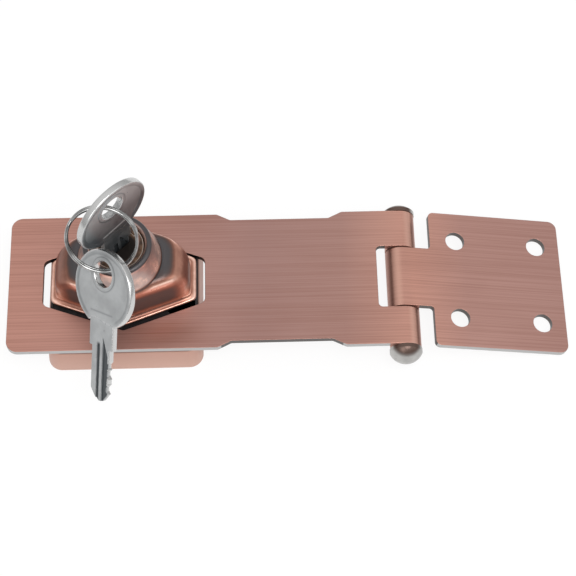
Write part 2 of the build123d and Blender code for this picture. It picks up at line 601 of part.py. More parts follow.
def cut_key(hole_plane, label):
    """Build a key on a plane whose origin is the bow hole's centre and whose Y runs up the bow."""
    foot_level = key_stop - hole_height
    step_level = key_step - hole_height
    tip_level = key_tip - hole_height
    half_blade = BLADE_WIDTH / 2
    with BuildPart() as key:
        with BuildSketch(hole_plane) as bow:
            with Locations((0, -BOW_HOLE_RISE)):
                Ellipse(BOW_WIDTH / 2, BOW_HEIGHT / 2)
            with Locations((0, step_level)):
                Rectangle(SHANK_WIDTH, BOW_HEIGHT / 2, align=(Align.CENTER, Align.MIN))
            Circle(BOW_HOLE_RADIUS, mode=Mode.SUBTRACT)
        extrude(amount=BOW_THICKNESS / 2, both=True)
        for side in (1, -1):
            with BuildSketch(hole_plane.offset(side * BOW_THICKNESS / 2)):
                with Locations((0, -BOW_HOLE_RISE)):
                    Ellipse(BOW_WIDTH / 2 - BOW_RIM, BOW_HEIGHT / 2 - BOW_RIM)
                Circle(BOW_HOLE_RADIUS + BOW_RIM, mode=Mode.SUBTRACT)
            extrude(amount=-side * BOW_RELIEF, mode=Mode.SUBTRACT)
        with BuildSketch(hole_plane):
            with Locations((0, foot_level)):
                Rectangle(SHANK_WIDTH, SHANK_LENGTH, align=(Align.CENTER, Align.MIN))
            with BuildLine():
                Polyline(
                    (-half_blade, foot_level), (-half_blade, tip_level + BLADE_POINT),
                    (-BLADE_POINT_HALF, tip_level), (BLADE_POINT_HALF, tip_level),
                    (half_blade, tip_level + BLADE_POINT), (half_blade, foot_level), close=True,
                )
            make_face()
            for count in range(WAFER_COUNT):
                cut_level = WAFER_FIRST + count * WAFER_PITCH + WAFER_THICKNESS / 2 - hole_height
                depth = CUT_DEPTHS[count % len(CUT_DEPTHS)]
                with Locations((half_blade, cut_level)):
                    Polygon(
                        (0, -CUT_WIDTH / 2 - depth), (0, CUT_WIDTH / 2 + depth),
                        (-depth, CUT_WIDTH / 2), (-depth, -CUT_WIDTH / 2), align=None, mode=Mode.SUBTRACT,
                    )
        extrude(amount=KEY_THICKNESS / 2, both=True)
        grooves = (
            (1, NARROW_GROOVE_SHIFT, NARROW_GROOVE), (1, WIDE_GROOVE_SHIFT, WIDE_GROOVE),
            (-1, 0, NARROW_GROOVE),
        )
        for side, shift, width in grooves:
            with BuildSketch(hole_plane.offset(side * KEY_THICKNESS / 2)):
                with Locations((shift, tip_level)):
                    Rectangle(width, BLADE_LENGTH + GROOVE_RUN_OUT, align=(Align.CENTER, Align.MIN))
            extrude(amount=-side * GROOVE_DEPTH, mode=Mode.SUBTRACT)
    key.part.label = label
    return key.part


# Key in the lock, with its bow turned to the key angle
key_width_dir = (cos(radians(KEY_ANGLE)), sin(radians(KEY_ANGLE)), 0)
key_face_dir = (sin(radians(KEY_ANGLE)), -cos(radians(KEY_ANGLE)), 0)
lock_key = cut_key(Plane((0, 0, hole_height), x_dir=key_width_dir, z_dir=key_face_dir), "lock_key")

# Split ring: two turns of wire lying together, hung through the bow of the key in the lock
tilt = radians(RING_TILT)
yaw = radians(RING_YAW)
ring_centre = plus((0, 0, hole_height), RING_CENTRE)
ring_across = (cos(yaw), sin(yaw), 0)
ring_down = (sin(tilt) * sin(yaw), -sin(tilt) * cos(yaw), -cos(tilt))
ring_normal = (-cos(tilt) * sin(yaw), cos(tilt) * cos(yaw), -sin(tilt))
turn_offset = (RING_WIRE - RING_TURN_LAP) / 2
with BuildPart() as split_ring:
    with BuildSketch(Plane(ring_centre, x_dir=ring_across, z_dir=ring_down)):
        for side in (1, -1):
            with Locations((ring_radius, side * turn_offset)):
                Circle(RING_WIRE / 2)
    revolve(axis=Axis(ring_centre, ring_normal))
split_ring.part.label = "split_ring"

# Spare key: hangs on the ring and leans out over the front of the arm
lean = radians(SPARE_LEAN)
azimuth = radians(SPARE_AZIMUTH)
twist = radians(SPARE_TWIST)
spare_hole = plus((0, 0, hole_height), SPARE_HOLE)
spare_up = Vector(-sin(lean) * cos(azimuth), -sin(lean) * sin(azimuth), cos(lean))
level_dir = (Vector(1, 0, 0) - spare_up * spare_up.X).normalized()
outward_dir = spare_up.cross(level_dir)
spare_width = level_dir * cos(twist) - outward_dir * sin(twist)
spare_face = spare_width.cross(spare_up)
spare_key = cut_key(Plane(spare_hole, x_dir=spare_width, z_dir=spare_face), "spare_key")

pieces = [
    hasp_arm.part, hinge_leaf.part, hinge_pin.part, lock_base.part, stop_pin.part, turn_knob.part,
    thrust_washer, spring_washer.part, spindle_clip, spindle_cover.part, lock_plug.part, *wafers,
    plug_clip, plug_cam.part, cam_screw.part, side_bolt.part, lock_key, split_ring.part, spare_key,
]
os.makedirs("parts", exist_ok=True)
for piece in pieces:
    export_step(piece, f"parts/{piece.label}.step")
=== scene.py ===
"""Looks of a keyed hasp latch: copper sheet, a patinated cast knob, nickel keys and a wire ring.

Every piece is in metres in the frame of the CAD model, whose origin lies on the knob's axis at the
foot of the lock base, with +X along the arm towards the hinge and +Z out of the door. Shapes are
worked out in millimetres, and are scaled once, when their mesh is made.
"""
from __future__ import annotations

import json
import logging
from dataclasses import dataclass, field
from enum import Enum
from typing import Sequence

import bmesh
import bpy
import numpy as np
from mathutils import Matrix, Vector

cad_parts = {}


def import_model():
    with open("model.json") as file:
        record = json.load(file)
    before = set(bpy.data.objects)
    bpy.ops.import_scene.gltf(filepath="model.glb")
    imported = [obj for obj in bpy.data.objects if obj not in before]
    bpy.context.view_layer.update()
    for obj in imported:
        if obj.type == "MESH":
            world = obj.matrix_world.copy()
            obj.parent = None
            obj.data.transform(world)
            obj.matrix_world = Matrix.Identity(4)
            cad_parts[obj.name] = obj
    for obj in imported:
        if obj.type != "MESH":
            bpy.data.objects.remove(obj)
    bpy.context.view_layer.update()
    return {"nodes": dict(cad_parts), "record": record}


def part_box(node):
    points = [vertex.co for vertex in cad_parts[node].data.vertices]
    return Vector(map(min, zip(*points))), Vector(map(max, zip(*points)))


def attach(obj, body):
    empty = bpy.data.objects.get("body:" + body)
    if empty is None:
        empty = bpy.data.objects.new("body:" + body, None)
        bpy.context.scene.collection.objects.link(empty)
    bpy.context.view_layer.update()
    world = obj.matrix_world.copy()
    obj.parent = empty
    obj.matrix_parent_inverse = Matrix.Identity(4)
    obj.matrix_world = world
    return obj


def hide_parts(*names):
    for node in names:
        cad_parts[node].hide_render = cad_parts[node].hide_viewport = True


LOG = logging.getLogger("hasp_latch")
MM = 0.001
FULL_CIRCLE = 360.0
TURN = 2 * np.pi
FINE_OCTAVES = 2.0
# Name of the point attribute with each piece's tone, which holds patination and also painted
# highlights, painted shade and painted reflection.
TONE = "patina_and_painted_light"


class Grain(Enum):
    """How a metal's grain runs, as the scale of its noise along X, Y and Z."""

    ALONG_ARM = (16.0, 3400.0, 16.0)
    ALL_ROUND = (900.0, 900.0, 900.0)


class Shade:
    """One socket of a shader tree, on which arithmetic adds Math nodes."""

    def __init__(self, bench: "NodeBench", socket: bpy.types.NodeSocket) -> None:
        """Keep the bench that owns the tree and the socket that this value leaves from."""
        self.bench = bench
        self.socket = socket

    def _math(self, operation: str, *values: "Shade | float") -> "Shade":
        """Add one Math node.

        Args:
            operation: the node's operation.
            values: its inputs, as sockets or numbers.

        Returns:
            The node's output.
        """
        return self.bench.node("ShaderNodeMath", {"operation": operation}, dict(enumerate(values)))

    def __add__(self, other: "Shade | float") -> "Shade":
        """Sum."""
        return self._math("ADD", self, other)

    def __radd__(self, other: float) -> "Shade":
        """Sum with a number on the left."""
        return self._math("ADD", other, self)

    def __sub__(self, other: "Shade | float") -> "Shade":
        """Difference."""
        return self._math("SUBTRACT", self, other)

    def __rsub__(self, other: float) -> "Shade":
        """Difference from a number."""
        return self._math("SUBTRACT", other, self)

    def __mul__(self, other: "Shade | float") -> "Shade":
        """Product."""
        return self._math("MULTIPLY", self, other)

    def __rmul__(self, other: float) -> "Shade":
        """Product with a number on the left."""
        return self._math("MULTIPLY", other, self)

    def __gt__(self, other: "Shade | float") -> "Shade":
        """One where this value is the larger, and zero elsewhere."""
        return self._math("GREATER_THAN", self, other)

    def __lt__(self, other: "Shade | float") -> "Shade":
        """One where this value is the smaller, and zero elsewhere."""
        return self._math("LESS_THAN", self, other)

    def __abs__(self) -> "Shade":
        """Size without sign."""
        return self._math("ABSOLUTE", self)

    def clamped(self) -> "Shade":
        """Hold the value between zero and one."""
        return self.bench.node("ShaderNodeClamp", {}, {"Value": self})

    def between(self, low: float, high: float) -> "Shade":
        """Ramp smoothly from zero at low to one at high.

        Args:
            low: value that gives zero.
            high: value that gives one.

        Returns:
            The smooth step.
        """
        inputs = {"Value": self, "From Min": low, "From Max": high}
        return self.bench.node("ShaderNodeMapRange", {"interpolation_type": "SMOOTHSTEP"}, inputs)


class NodeBench:
    """The node tree of one material and the few tools that fill it."""

    def __init__(self, name: str) -> None:
        """Open an empty material with its output and its Principled shader.

        Args:
            name: the material's name.
        """
        self.material = bpy.data.materials.new(name)
        self.material.use_nodes = True
        self.tree = self.material.node_tree
        self.tree.nodes.clear()
        self.output = self.tree.nodes.new("ShaderNodeOutputMaterial")
        self.surface = self.tree.nodes.new("ShaderNodeBsdfPrincipled")
        self.tree.links.new(self.surface.outputs[0], self.output.inputs["Surface"])

    def node(self, kind: str, settings: dict, inputs: dict, output: int | str = 0) -> Shade:
        """Add a node.

        Args:
            kind: the node's type.
            settings: its attributes, set before its inputs; the key "stops" fills a ramp.
            inputs: sockets by name or number, as numbers, tuples or linked values.
            output: the output that is handed back.

        Returns:
            The chosen output.
        """
        made = self.tree.nodes.new(kind)
        for key, value in settings.items():
            if key == "stops":
                self._fill_ramp(made.color_ramp, value)
            else:
                setattr(made, key, value)
        for key, value in inputs.items():
            self.feed(made.inputs[key], value)
        return Shade(self, made.outputs[output])

    def feed(self, socket: bpy.types.NodeSocket, value: "Shade | float | Sequence[float]") -> None:
        """Link a value to a socket, or write a plain one on it.

        Args:
            socket: the input.
            value: a linked value, a number or a tuple.
        """
        if isinstance(value, Shade):
            self.tree.links.new(value.socket, socket)
        else:
            socket.default_value = value

    @staticmethod
    def _fill_ramp(ramp: bpy.types.ColorRamp, stops: Sequence[tuple]) -> None:
        """Write a ramp's stops.

        Args:
            ramp: the ramp, which starts with two stops.
            stops: a place from zero to one and a colour for each stop.
        """
        while len(ramp.elements) < len(stops):
            ramp.elements.new(1.0)
        for element, (place, colour) in zip(ramp.elements, stops):
            element.position = place
            element.color = (*colour, 1.0)

    def place(self) -> Shade:
        """Object coordinates, in metres."""
        return self.node("ShaderNodeTexCoord", {}, {}, "Object")

    def axis(self, vector: Shade, name: str) -> Shade:
        """One part of a vector."""
        return self.node("ShaderNodeSeparateXYZ", {}, {0: vector}, name)

    def vector(
        self, operation: str, *values: "Shade | Sequence[float]", output: int | str = 0
    ) -> Shade:
        """Add one Vector Math node and hand back the chosen output."""
        inputs = dict(enumerate(values))
        return self.node("ShaderNodeVectorMath", {"operation": operation}, inputs, output)

    def length(self, vector: Shade) -> Shade:
        """Length of a vector."""
        return self.vector("LENGTH", vector, output="Value")

    def from_axis(self) -> Shade:
        """Distance from the knob's axis, in metres: the length of Object coordinates without Z."""
        return self.length(self.vector("MULTIPLY", self.place(), (1.0, 1.0, 0.0)))

    def tone(self) -> Shade:
        """The tone that each point of a piece carries."""
        return self.node("ShaderNodeAttribute", {"attribute_name": TONE}, {}, "Fac")

    def ramp(self, place: Shade, stops: Sequence[tuple]) -> Shade:
        """Pick a colour between stops, each a place from zero to one and a colour."""
        return self.node("ShaderNodeValToRGB", {"stops": stops}, {"Fac": place})

    def noise(self, scale: Sequence[float], detail: float = 3.0, rough: float = 0.55) -> Shade:
        """Noise on Object coordinates, stretched by its scale along each axis.

        Args:
            scale: waves in a metre along X, Y and Z.
            detail: octaves.
            rough: how much the finer octaves count.

        Returns:
            The noise, about 0.5 in the mean.
        """
        mapping = {"Vector": self.place(), "Scale": tuple(scale)}
        stretched = self.node("ShaderNodeMapping", {}, mapping)
        inputs = {"Vector": stretched, "Scale": 1.0, "Detail": detail, "Roughness": rough}
        return self.node("ShaderNodeTexNoise", {}, inputs)

    def mix(
        self, factor: "Shade | float", low: "Shade | Sequence", high: "Shade | Sequence"
    ) -> Shade:
        """Blend two colours.

        Args:
            factor: zero for the first colour, one for the second.
            low: the first colour.
            high: the second colour.

        Returns:
            The blend.
        """
        inputs = {0: factor, 6: _rgba(low), 7: _rgba(high)}
        return self.node("ShaderNodeMix", {"data_type": "RGBA"}, inputs, 2)

    def bump(self, height: Shade, distance: float) -> Shade:
        """Bend the normal by a height from zero to one, which is a distance in metres at one."""
        inputs = {"Height": height, "Distance": distance, "Strength": 1.0}
        return self.node("ShaderNodeBump", {}, inputs)

    def finish(self, **sockets: "Shade | float | Sequence[float]") -> bpy.types.Material:
        """Feed the Principled shader.

        Args:
            sockets: its sockets by name, with underscores for spaces.

        Returns:
            The material.
        """
        for key, value in sockets.items():
            self.feed(self.surface.inputs[key.replace("_", " ")], value)
        return self.material


def _rgba(colour: "Shade | Sequence[float]") -> "Shade | tuple":
    """Give a plain colour its alpha."""
    return colour if isinstance(colour, Shade) else (*colour, 1.0)


@dataclass(frozen=True)
class Sheet:
    """One flat sheet of the hasp: its top plane and the stretch of X that it spans, in metres."""

    normal: tuple
    offset: float
    start: float
    end: float
    thickness: float = 0.0015
    skin: float = 0.00006

    def cut_edge(self, bench: NodeBench) -> Shade:
        """Give one on the sheet's walls, which lie between its two faces, and zero elsewhere.

        The depth under the top plane is offset - n . p, and a wall is deeper than the skin of
        either face.

        Args:
            bench: the material's tree.

        Returns:
            The mask.
        """
        place = bench.place()
        along = bench.axis(place, "X")
        depth = self.offset - (along * self.normal[0] + bench.axis(place, "Z") * self.normal[2])
        inside = (depth > self.skin) * (depth < self.thickness - self.skin)
        return inside * (along > self.start) * (along < self.end)


@dataclass(frozen=True)
class KnuckleBand:
    """A band of light or shade along a knuckle, on the leaf's tongue or on the arm beside it."""

    middle: float
    half: float
    share: float
    colour: tuple
    on_tongue: bool


@dataclass(frozen=True)
class BrushedCopper:
    """Copper-plated sheet, brushed lengthwise, with bare grey cut edges and painted shade in its
    slot.
    """

    name: str = "copper_sheet"
    # Copper along X, lighter over the knuckles as a painted highlight on their roll.
    tones: tuple = (
        (-0.026, (0.53, 0.27, 0.215)), (0.002, (0.50, 0.27, 0.225)), (0.030, (0.385, 0.225, 0.198)),
        (0.050, (0.415, 0.24, 0.205)), (0.060, (0.55, 0.30, 0.24)), (0.066, (0.62, 0.325, 0.255)),
        (0.078, (0.47, 0.265, 0.225)), (0.101, (0.44, 0.25, 0.215)),
    )
    # Dark colour for the streaks, the clouds and the painted reflection of the knob.
    deep: tuple = (0.26, 0.115, 0.085)
    cut: tuple = (0.46, 0.455, 0.45)
    # Painted shade on the walls of the slot, and on the walls of holes and between the knuckles.
    slot_wall_shade: tuple = (0.03, 0.026, 0.025)
    inner_wall_shade: tuple = (0.105, 0.095, 0.09)
    sheets: tuple = (
        Sheet((0.0, 0.0, 1.0), 0.0091, -1.0, 0.0597),
        Sheet((0.201545, 0.0, 0.979479), 0.021764, 0.0668, 1.0),
    )
    # Painted light and shade along the knuckles' roll.
    bands: tuple = (
        KnuckleBand(0.06065, 0.0009, 0.8, (0.17, 0.075, 0.055), True),
        KnuckleBand(0.0622, 0.0014, 0.6, (0.72, 0.42, 0.33), True),
        KnuckleBand(0.0652, 0.0013, 0.6, (0.74, 0.44, 0.35), False),
        KnuckleBand(0.06635, 0.0007, 0.85, (0.20, 0.085, 0.06), False),
    )
    tongue_half: float = 0.0075
    slot_half: tuple = (0.0187, 0.0126)
    outer_from: float = 0.0165
    # Painted reflection of the knob on the arm in front of it: its middle, reach, fade and share.
    knob_reflection_at: tuple = (0.0095, -0.0130, 0.0)
    knob_reflection_reach: tuple = (85.0, 210.0, 0.0)
    knob_reflection_fade: tuple = (0.1, 1.1)
    knob_reflection_share: float = 0.52
    streak_detail: tuple = (4.0, 0.62)
    streak_share: float = 0.34
    streak_range: tuple = (0.34, 0.62)
    cloud_scale: tuple = (26.0, 48.0, 48.0)
    cloud_share: float = 0.22
    cloud_range: tuple = (0.42, 0.78)
    metallic: float = 0.8
    roughness: float = 0.31
    streak_rough: float = 0.14
    brushing: float = 0.000008

    def build(self) -> bpy.types.Material:
        """Build the material: tones along the sheet, streaks, a painted reflection of the knob,
        painted light and shade on the knuckles, and walls of other colours.

        Returns:
            The material.
        """
        bench = NodeBench(self.name)
        place = bench.place()
        along, across = bench.axis(place, "X"), abs(bench.axis(place, "Y"))
        low, high = self.tones[0][0], self.tones[-1][0]
        stops = [((x - low) / (high - low), colour) for x, colour in self.tones]
        # The ramp along X, with a painted highlight over the knuckles.
        plating_and_roll_highlight = bench.ramp((along - low) * (1 / (high - low)), stops)
        streak = bench.noise(Grain.ALONG_ARM.value, *self.streak_detail)
        copper = bench.mix(self._darkening_with_painted_shade(bench, place, streak), plating_and_roll_highlight, self.deep)
        # Painted light and shade along the knuckles' roll.
        for band in self.bands:
            beside = across < self.tongue_half if band.on_tongue else across > self.tongue_half
            light = (1 - abs(along - band.middle).between(0.0, band.half)) * band.share * beside
            copper = bench.mix(light.clamped(), copper, band.colour)
        edge = self.sheets[0].cut_edge(bench) + self.sheets[1].cut_edge(bench)
        return bench.finish(
            Base_Color=bench.mix(edge, copper, self._wall(bench, along, across)),
            Metallic=self.metallic,
            Roughness=self.roughness + streak * self.streak_rough,
            Normal=bench.bump(streak, self.brushing),
        )

    def _darkening_with_painted_shade(self, bench: NodeBench, place: Shade, streak: Shade) -> Shade:
        """Work out how dark the copper is: in streaks, faint clouds and a painted knob reflection.

        The painted reflection fades with the length of (p - middle) times its reach along each
        axis.

        Args:
            bench: the material's tree.
            place: Object coordinates.
            streak: the brushing's noise.

        Returns:
            Zero on clean copper, and one where it is darkest.
        """
        cloud = bench.noise(self.cloud_scale)
        streaks = (1 - streak.between(*self.streak_range)) * self.streak_share
        worn = (streaks + cloud.between(*self.cloud_range) * self.cloud_share).clamped()
        # The painted reflection of the knob, darkest at its middle.
        from_middle = bench.vector("SUBTRACT", place, self.knob_reflection_at)
        away = bench.length(bench.vector("MULTIPLY", from_middle, self.knob_reflection_reach))
        return (worn + (1 - away.between(*self.knob_reflection_fade)) * self.knob_reflection_share).clamped()

    def _wall(self, bench: NodeBench, along: Shade, across: Shade) -> Shade:
        """Pick a wall's colour: painted shade in the knob's slot and between the knuckles, grey on
        an outer edge.

        Args:
            bench: the material's tree.
            along: X, in metres.
            across: distance from the hasp's middle line, in metres.

        Returns:
            The colour.
        """
        # Painted shade in the slot and on the inner walls; bare grey cut colour on the outer edges.
        slot = (abs(along) < self.slot_half[0]) * (across < self.slot_half[1])
        inner = (along > self.slot_half[0]) * (across < self.outer_from)
        return bench.mix(slot, bench.mix(inner, self.cut, self.inner_wall_shade), self.slot_wall_shade)


@dataclass(frozen=True)
class CastCopper:
    """Cast copper: painted highlights on its ridges, brown for a painted dark reflection on its
    walls, and slate black where it is thickly patinated.
    """

    name: str = "copper_cast"
    tones: tuple = (
        # The first stop, pale copper, is the colour of painted highlights.
        (0.0, (0.95, 0.63, 0.52)), (0.17, (0.55, 0.275, 0.20)), (0.45, (0.27, 0.12, 0.085)),
        (0.7, (0.12, 0.08, 0.072)), (0.92, (0.088, 0.082, 0.085)),
    )
    # Colour of the painted grey reflection on the boss.
    painted_grey_reflection: tuple = (0.345, 0.3, 0.3)
    grey_reflection_reach: float = 0.0106
    grey_reflection_from: float = 0.0212
    grey_reflection_share: float = 0.68
    grey_reflection_clouds: tuple = (0.3, 0.62)
    grey_reflection_tones: tuple = (0.5, 0.8)
    cloud_scale: float = 260.0
    cloud_detail: tuple = (4.0, 0.6)
    mottle: float = 0.3
    speckle: float = 0.12
    metallic: float = 0.82
    roughness: float = 0.24
    fine_rough: float = 0.1
    dark_rough: float = 0.12
    grain: float = 0.000008

    def build(self) -> bpy.types.Material:
        """Build the material: the tone of each point, broken up by noise, picks a colour.

        A painted grey reflection lies over the boss, where the tone is light.

        Returns:
            The material.
        """
        bench = NodeBench(self.name)
        cloud = bench.noise((self.cloud_scale,) * 3, *self.cloud_detail)
        fine = bench.noise(Grain.ALL_ROUND.value)
        tone = bench.tone()
        place = (tone + (cloud - 0.5) * self.mottle + (fine - 0.5) * self.speckle).clamped()
        copper = bench.ramp(place, self.tones)
        # Painted grey reflection on the boss above the deck.
        above = bench.axis(bench.place(), "Z") > self.grey_reflection_from
        boss = (bench.from_axis() < self.grey_reflection_reach) * above
        light = 1 - tone.between(*self.grey_reflection_tones)
        painted_grey_reflection = boss * cloud.between(*self.grey_reflection_clouds) * light * self.grey_reflection_share
        return bench.finish(
            Base_Color=bench.mix(painted_grey_reflection.clamped(), copper, self.painted_grey_reflection),
            Metallic=self.metallic,
            Roughness=self.roughness + fine * self.fine_rough + place * self.dark_rough,
            Normal=bench.bump(fine, self.grain),
        )


@dataclass(frozen=True)
class SatinBase:
    """Lighter copper on the lock base's walls, painted lighter towards the floor, with a painted
    shadow on its top.
    """

    name: str = "copper_base"
    wall: tuple = (0.50, 0.29, 0.23)
    # Painted lighter colour towards the floor.
    low: tuple = (0.60, 0.375, 0.305)
    # Painted shadow colour on the top face.
    top: tuple = (0.035, 0.03, 0.03)
    floor_light_to: float = 0.0070
    floor_light_share: float = 0.7
    cloud_scale: float = 120.0
    cloud_share: float = 0.3
    fine_scale: float = 1400.0
    top_shadow_from: float = 0.0070
    top_shadow_run: float = 0.0005
    metallic: float = 0.55
    roughness: float = 0.4
    fine_rough: float = 0.12
    grain: float = 0.000006

    def build(self) -> bpy.types.Material:
        """Build the material: painted light near the floor and a painted shadow on the top, by
        height, broken up by noise, with a fine cast grain.

        Returns:
            The material.
        """
        bench = NodeBench(self.name)
        height = bench.axis(bench.place(), "Z")
        cloud = bench.noise((self.cloud_scale,) * 3)
        fine = bench.noise((self.fine_scale,) * 3, FINE_OCTAVES)
        # Lighter towards the floor as painted light.
        share = (1 - height.between(0.0, self.floor_light_to)) * self.floor_light_share + cloud * self.cloud_share
        copper = bench.mix(share, self.wall, self.low)
        # Painted shadow on the top face.
        dark = height.between(self.top_shadow_from, self.top_shadow_from + self.top_shadow_run)
        return bench.finish(
            Base_Color=bench.mix(dark, copper, self.top),
            Metallic=self.metallic,
            Roughness=self.roughness + fine * self.fine_rough,
            Normal=bench.bump(fine, self.grain),
        )


@dataclass(frozen=True)
class PlugFace:
    """Brown brass plug with a painted highlight line near its edge and another round its mouth, and
    painted shade round the keyway.
    """

    name: str = "brass_plug"
    body: tuple = (0.20, 0.115, 0.07)
    dark: tuple = (0.07, 0.045, 0.035)
    # Colour of the painted highlight lines at the rings' radii.
    line: tuple = (0.60, 0.52, 0.45)
    # Painted shade colour round the keyway.
    keyway_shade: tuple = (0.018, 0.014, 0.012)
    keyway_shade_from: float = 0.0047
    keyway_shade_to: float = 0.0036
    rings: tuple = ((0.00555, 0.00573), (0.0044, 0.00452))
    turning: float = 5200.0
    cloud_scale: float = 420.0
    cloud_range: tuple = (0.35, 0.62)
    metallic: float = 0.8
    roughness: float = 0.3
    cloud_rough: float = 0.15
    relief: float = 0.000006

    def build(self) -> bpy.types.Material:
        """Build the material: fine turned rings, which are a sine of the radius, painted highlight
        lines, stains and painted shade round the keyway.

        Returns:
            The material.
        """
        bench = NodeBench(self.name)
        radius = bench.from_axis()
        phase = radius * (self.turning * TURN)
        waves = bench.node("ShaderNodeMath", {"operation": "SINE"}, {0: phase})
        cloud = bench.noise((self.cloud_scale,) * 3)
        colour = bench.mix(cloud.between(*self.cloud_range), self.body, self.dark)
        # Painted shade round the keyway.
        colour = bench.mix(radius.between(self.keyway_shade_to, self.keyway_shade_from), self.keyway_shade, colour)
        # Painted highlight lines.
        for inner, outer in self.rings:
            colour = bench.mix((radius > inner) * (radius < outer), colour, self.line)
        return bench.finish(
            Base_Color=colour,
            Metallic=self.metallic,
            Roughness=self.roughness + cloud * self.cloud_rough,
            Normal=bench.bump(waves, self.relief),
        )


@dataclass(frozen=True)
class PlainMetal:
    """A metal of one colour with fine mottling.

    It carries painted shade where its tone is high, and polishing wear with a painted highlight
    where its tone is below zero.
    """

    name: str
    colour: tuple
    roughness: float = 0.3
    metallic: float = 0.85
    relief: float = 0.0000015
    variation: float = 0.1
    # Painted shade colour for a high tone.
    painted_shade: tuple = (0.048, 0.055, 0.060)
    # Worn-edge colour, brightened as a painted highlight.
    polished_highlight: tuple = (0.62, 0.62, 0.615)
    shade: tuple = (0.13, 0.085, 0.07)
    shade_from: float = 1.0
    shade_run: float = 0.0012
    cloud_scale: float = 260.0
    cloud_range: tuple = (0.3, 0.7)
    painted_shade_clouds: float = 0.8
    fine_scale: float = 1500.0
    fine_rough: float = 0.1
    shine_smooth: float = 0.08

    def build(self) -> bpy.types.Material:
        """Build the material: cloudy colour, painted shade and worn edges with a painted highlight
        by the tone, and painted shade on the top.

        Returns:
            The material.
        """
        bench = NodeBench(self.name)
        cloud = bench.noise((self.cloud_scale,) * 3)
        fine = bench.noise((self.fine_scale,) * 3, FINE_OCTAVES)
        darker = tuple(c * (1 - 2 * self.variation) for c in self.colour)
        metal = bench.mix(cloud.between(*self.cloud_range), darker, self.colour)
        tone = bench.tone()
        # A high tone mixes in painted shade.
        patchy = (tone + (cloud - 0.5) * tone * self.painted_shade_clouds).clamped()
        dull = bench.mix(patchy, metal, self.painted_shade)
        height = bench.axis(bench.place(), "Z")
        shaded = height.between(self.shade_from, self.shade_from + self.shade_run)
        dull = bench.mix(shaded, dull, self.shade)
        # A tone below zero is polishing wear with a painted highlight.
        shine = (0 - tone).clamped()
        rough = self.roughness - self.fine_rough / 2
        return bench.finish(
            Base_Color=bench.mix(shine, dull, self.polished_highlight),
            Metallic=(shine * (1 - self.metallic) + self.metallic).clamped(),
            Roughness=fine * self.fine_rough + rough - shine * self.shine_smooth,
            Normal=bench.bump(fine, self.relief),
        )


class Finishes:
    """Builds each finish once, and hands out its material by the record's slot or its own name."""

    MADE_AS: dict = {
        "copper_sheet": BrushedCopper(),
        "copper_cast": CastCopper(),
        "copper_base": SatinBase(),
        "nickel": PlainMetal("nickel", (0.385, 0.395, 0.40), 0.3, 0.35),
        "pin": PlainMetal(
            "pin_nickel", (0.50, 0.49, 0.475), 0.3, 0.8, 0.0, variation=0.12, shade_from=0.0073
        ),
        "steel": PlainMetal("steel", (0.36, 0.36, 0.365), 0.35, 0.8),
        "bright_wire": PlainMetal("bright_wire", (0.50, 0.50, 0.495), 0.14, 1.0, variation=0.3),
        "brass": PlainMetal("brass", (0.55, 0.38, 0.17), 0.32, 0.85),
        "plug": PlugFace(),
    }

    def __init__(self) -> None:
        """Start with no material built."""
        self._made: dict[str, bpy.types.Material] = {}

    def of(self, slot: str) -> bpy.types.Material:
        """Hand out a finish, built at its first use.

        Args:
            slot: its name in MADE_AS.

        Returns:
            The material.
        """
        if slot not in self._made:
            self._made[slot] = self.MADE_AS[slot].build()
        return self._made[slot]


def grid_faces(rows: int, columns: int, looped: bool = False) -> np.ndarray:
    """Number the quads of a grid of points whose rows are rings.

    Args:
        rows: points from the first row to the last.
        columns: points in a row.
        looped: whether the last row joins the first.

    Returns:
        An array of quads.
    """
    i, j = np.meshgrid(np.arange(rows if looped else rows - 1), np.arange(columns), indexing="ij")
    below, beside = (i + 1) % rows, (j + 1) % columns
    quads = [i * columns + j, i * columns + beside, below * columns + beside, below * columns + j]
    return np.stack(quads, -1).reshape(-1, 4)


def smooth_step(value: np.ndarray, low: float, high: float) -> np.ndarray:
    """Rise from zero at low to one at high as 3t^2 - 2t^3."""
    t = np.clip((value - low) / (high - low), 0, 1)
    return t * t * (3 - 2 * t)


def hump(value: np.ndarray, middle: float, width: float) -> np.ndarray:
    """Stand at one in the middle and fall to both sides as exp(-((value - middle) / width)^2)."""
    return np.exp(-(((value - middle) / width) ** 2))


def quarter(steps: int) -> np.ndarray:
    """Angles of a quarter turn in even steps, without the first, which is zero."""
    return np.linspace(0, np.pi / 2, steps + 1)[1:]


def turn(columns: int) -> np.ndarray:
    """Angles of one full turn, evenly spaced, without the last, which is the first again."""
    return np.linspace(0, TURN, columns, endpoint=False)


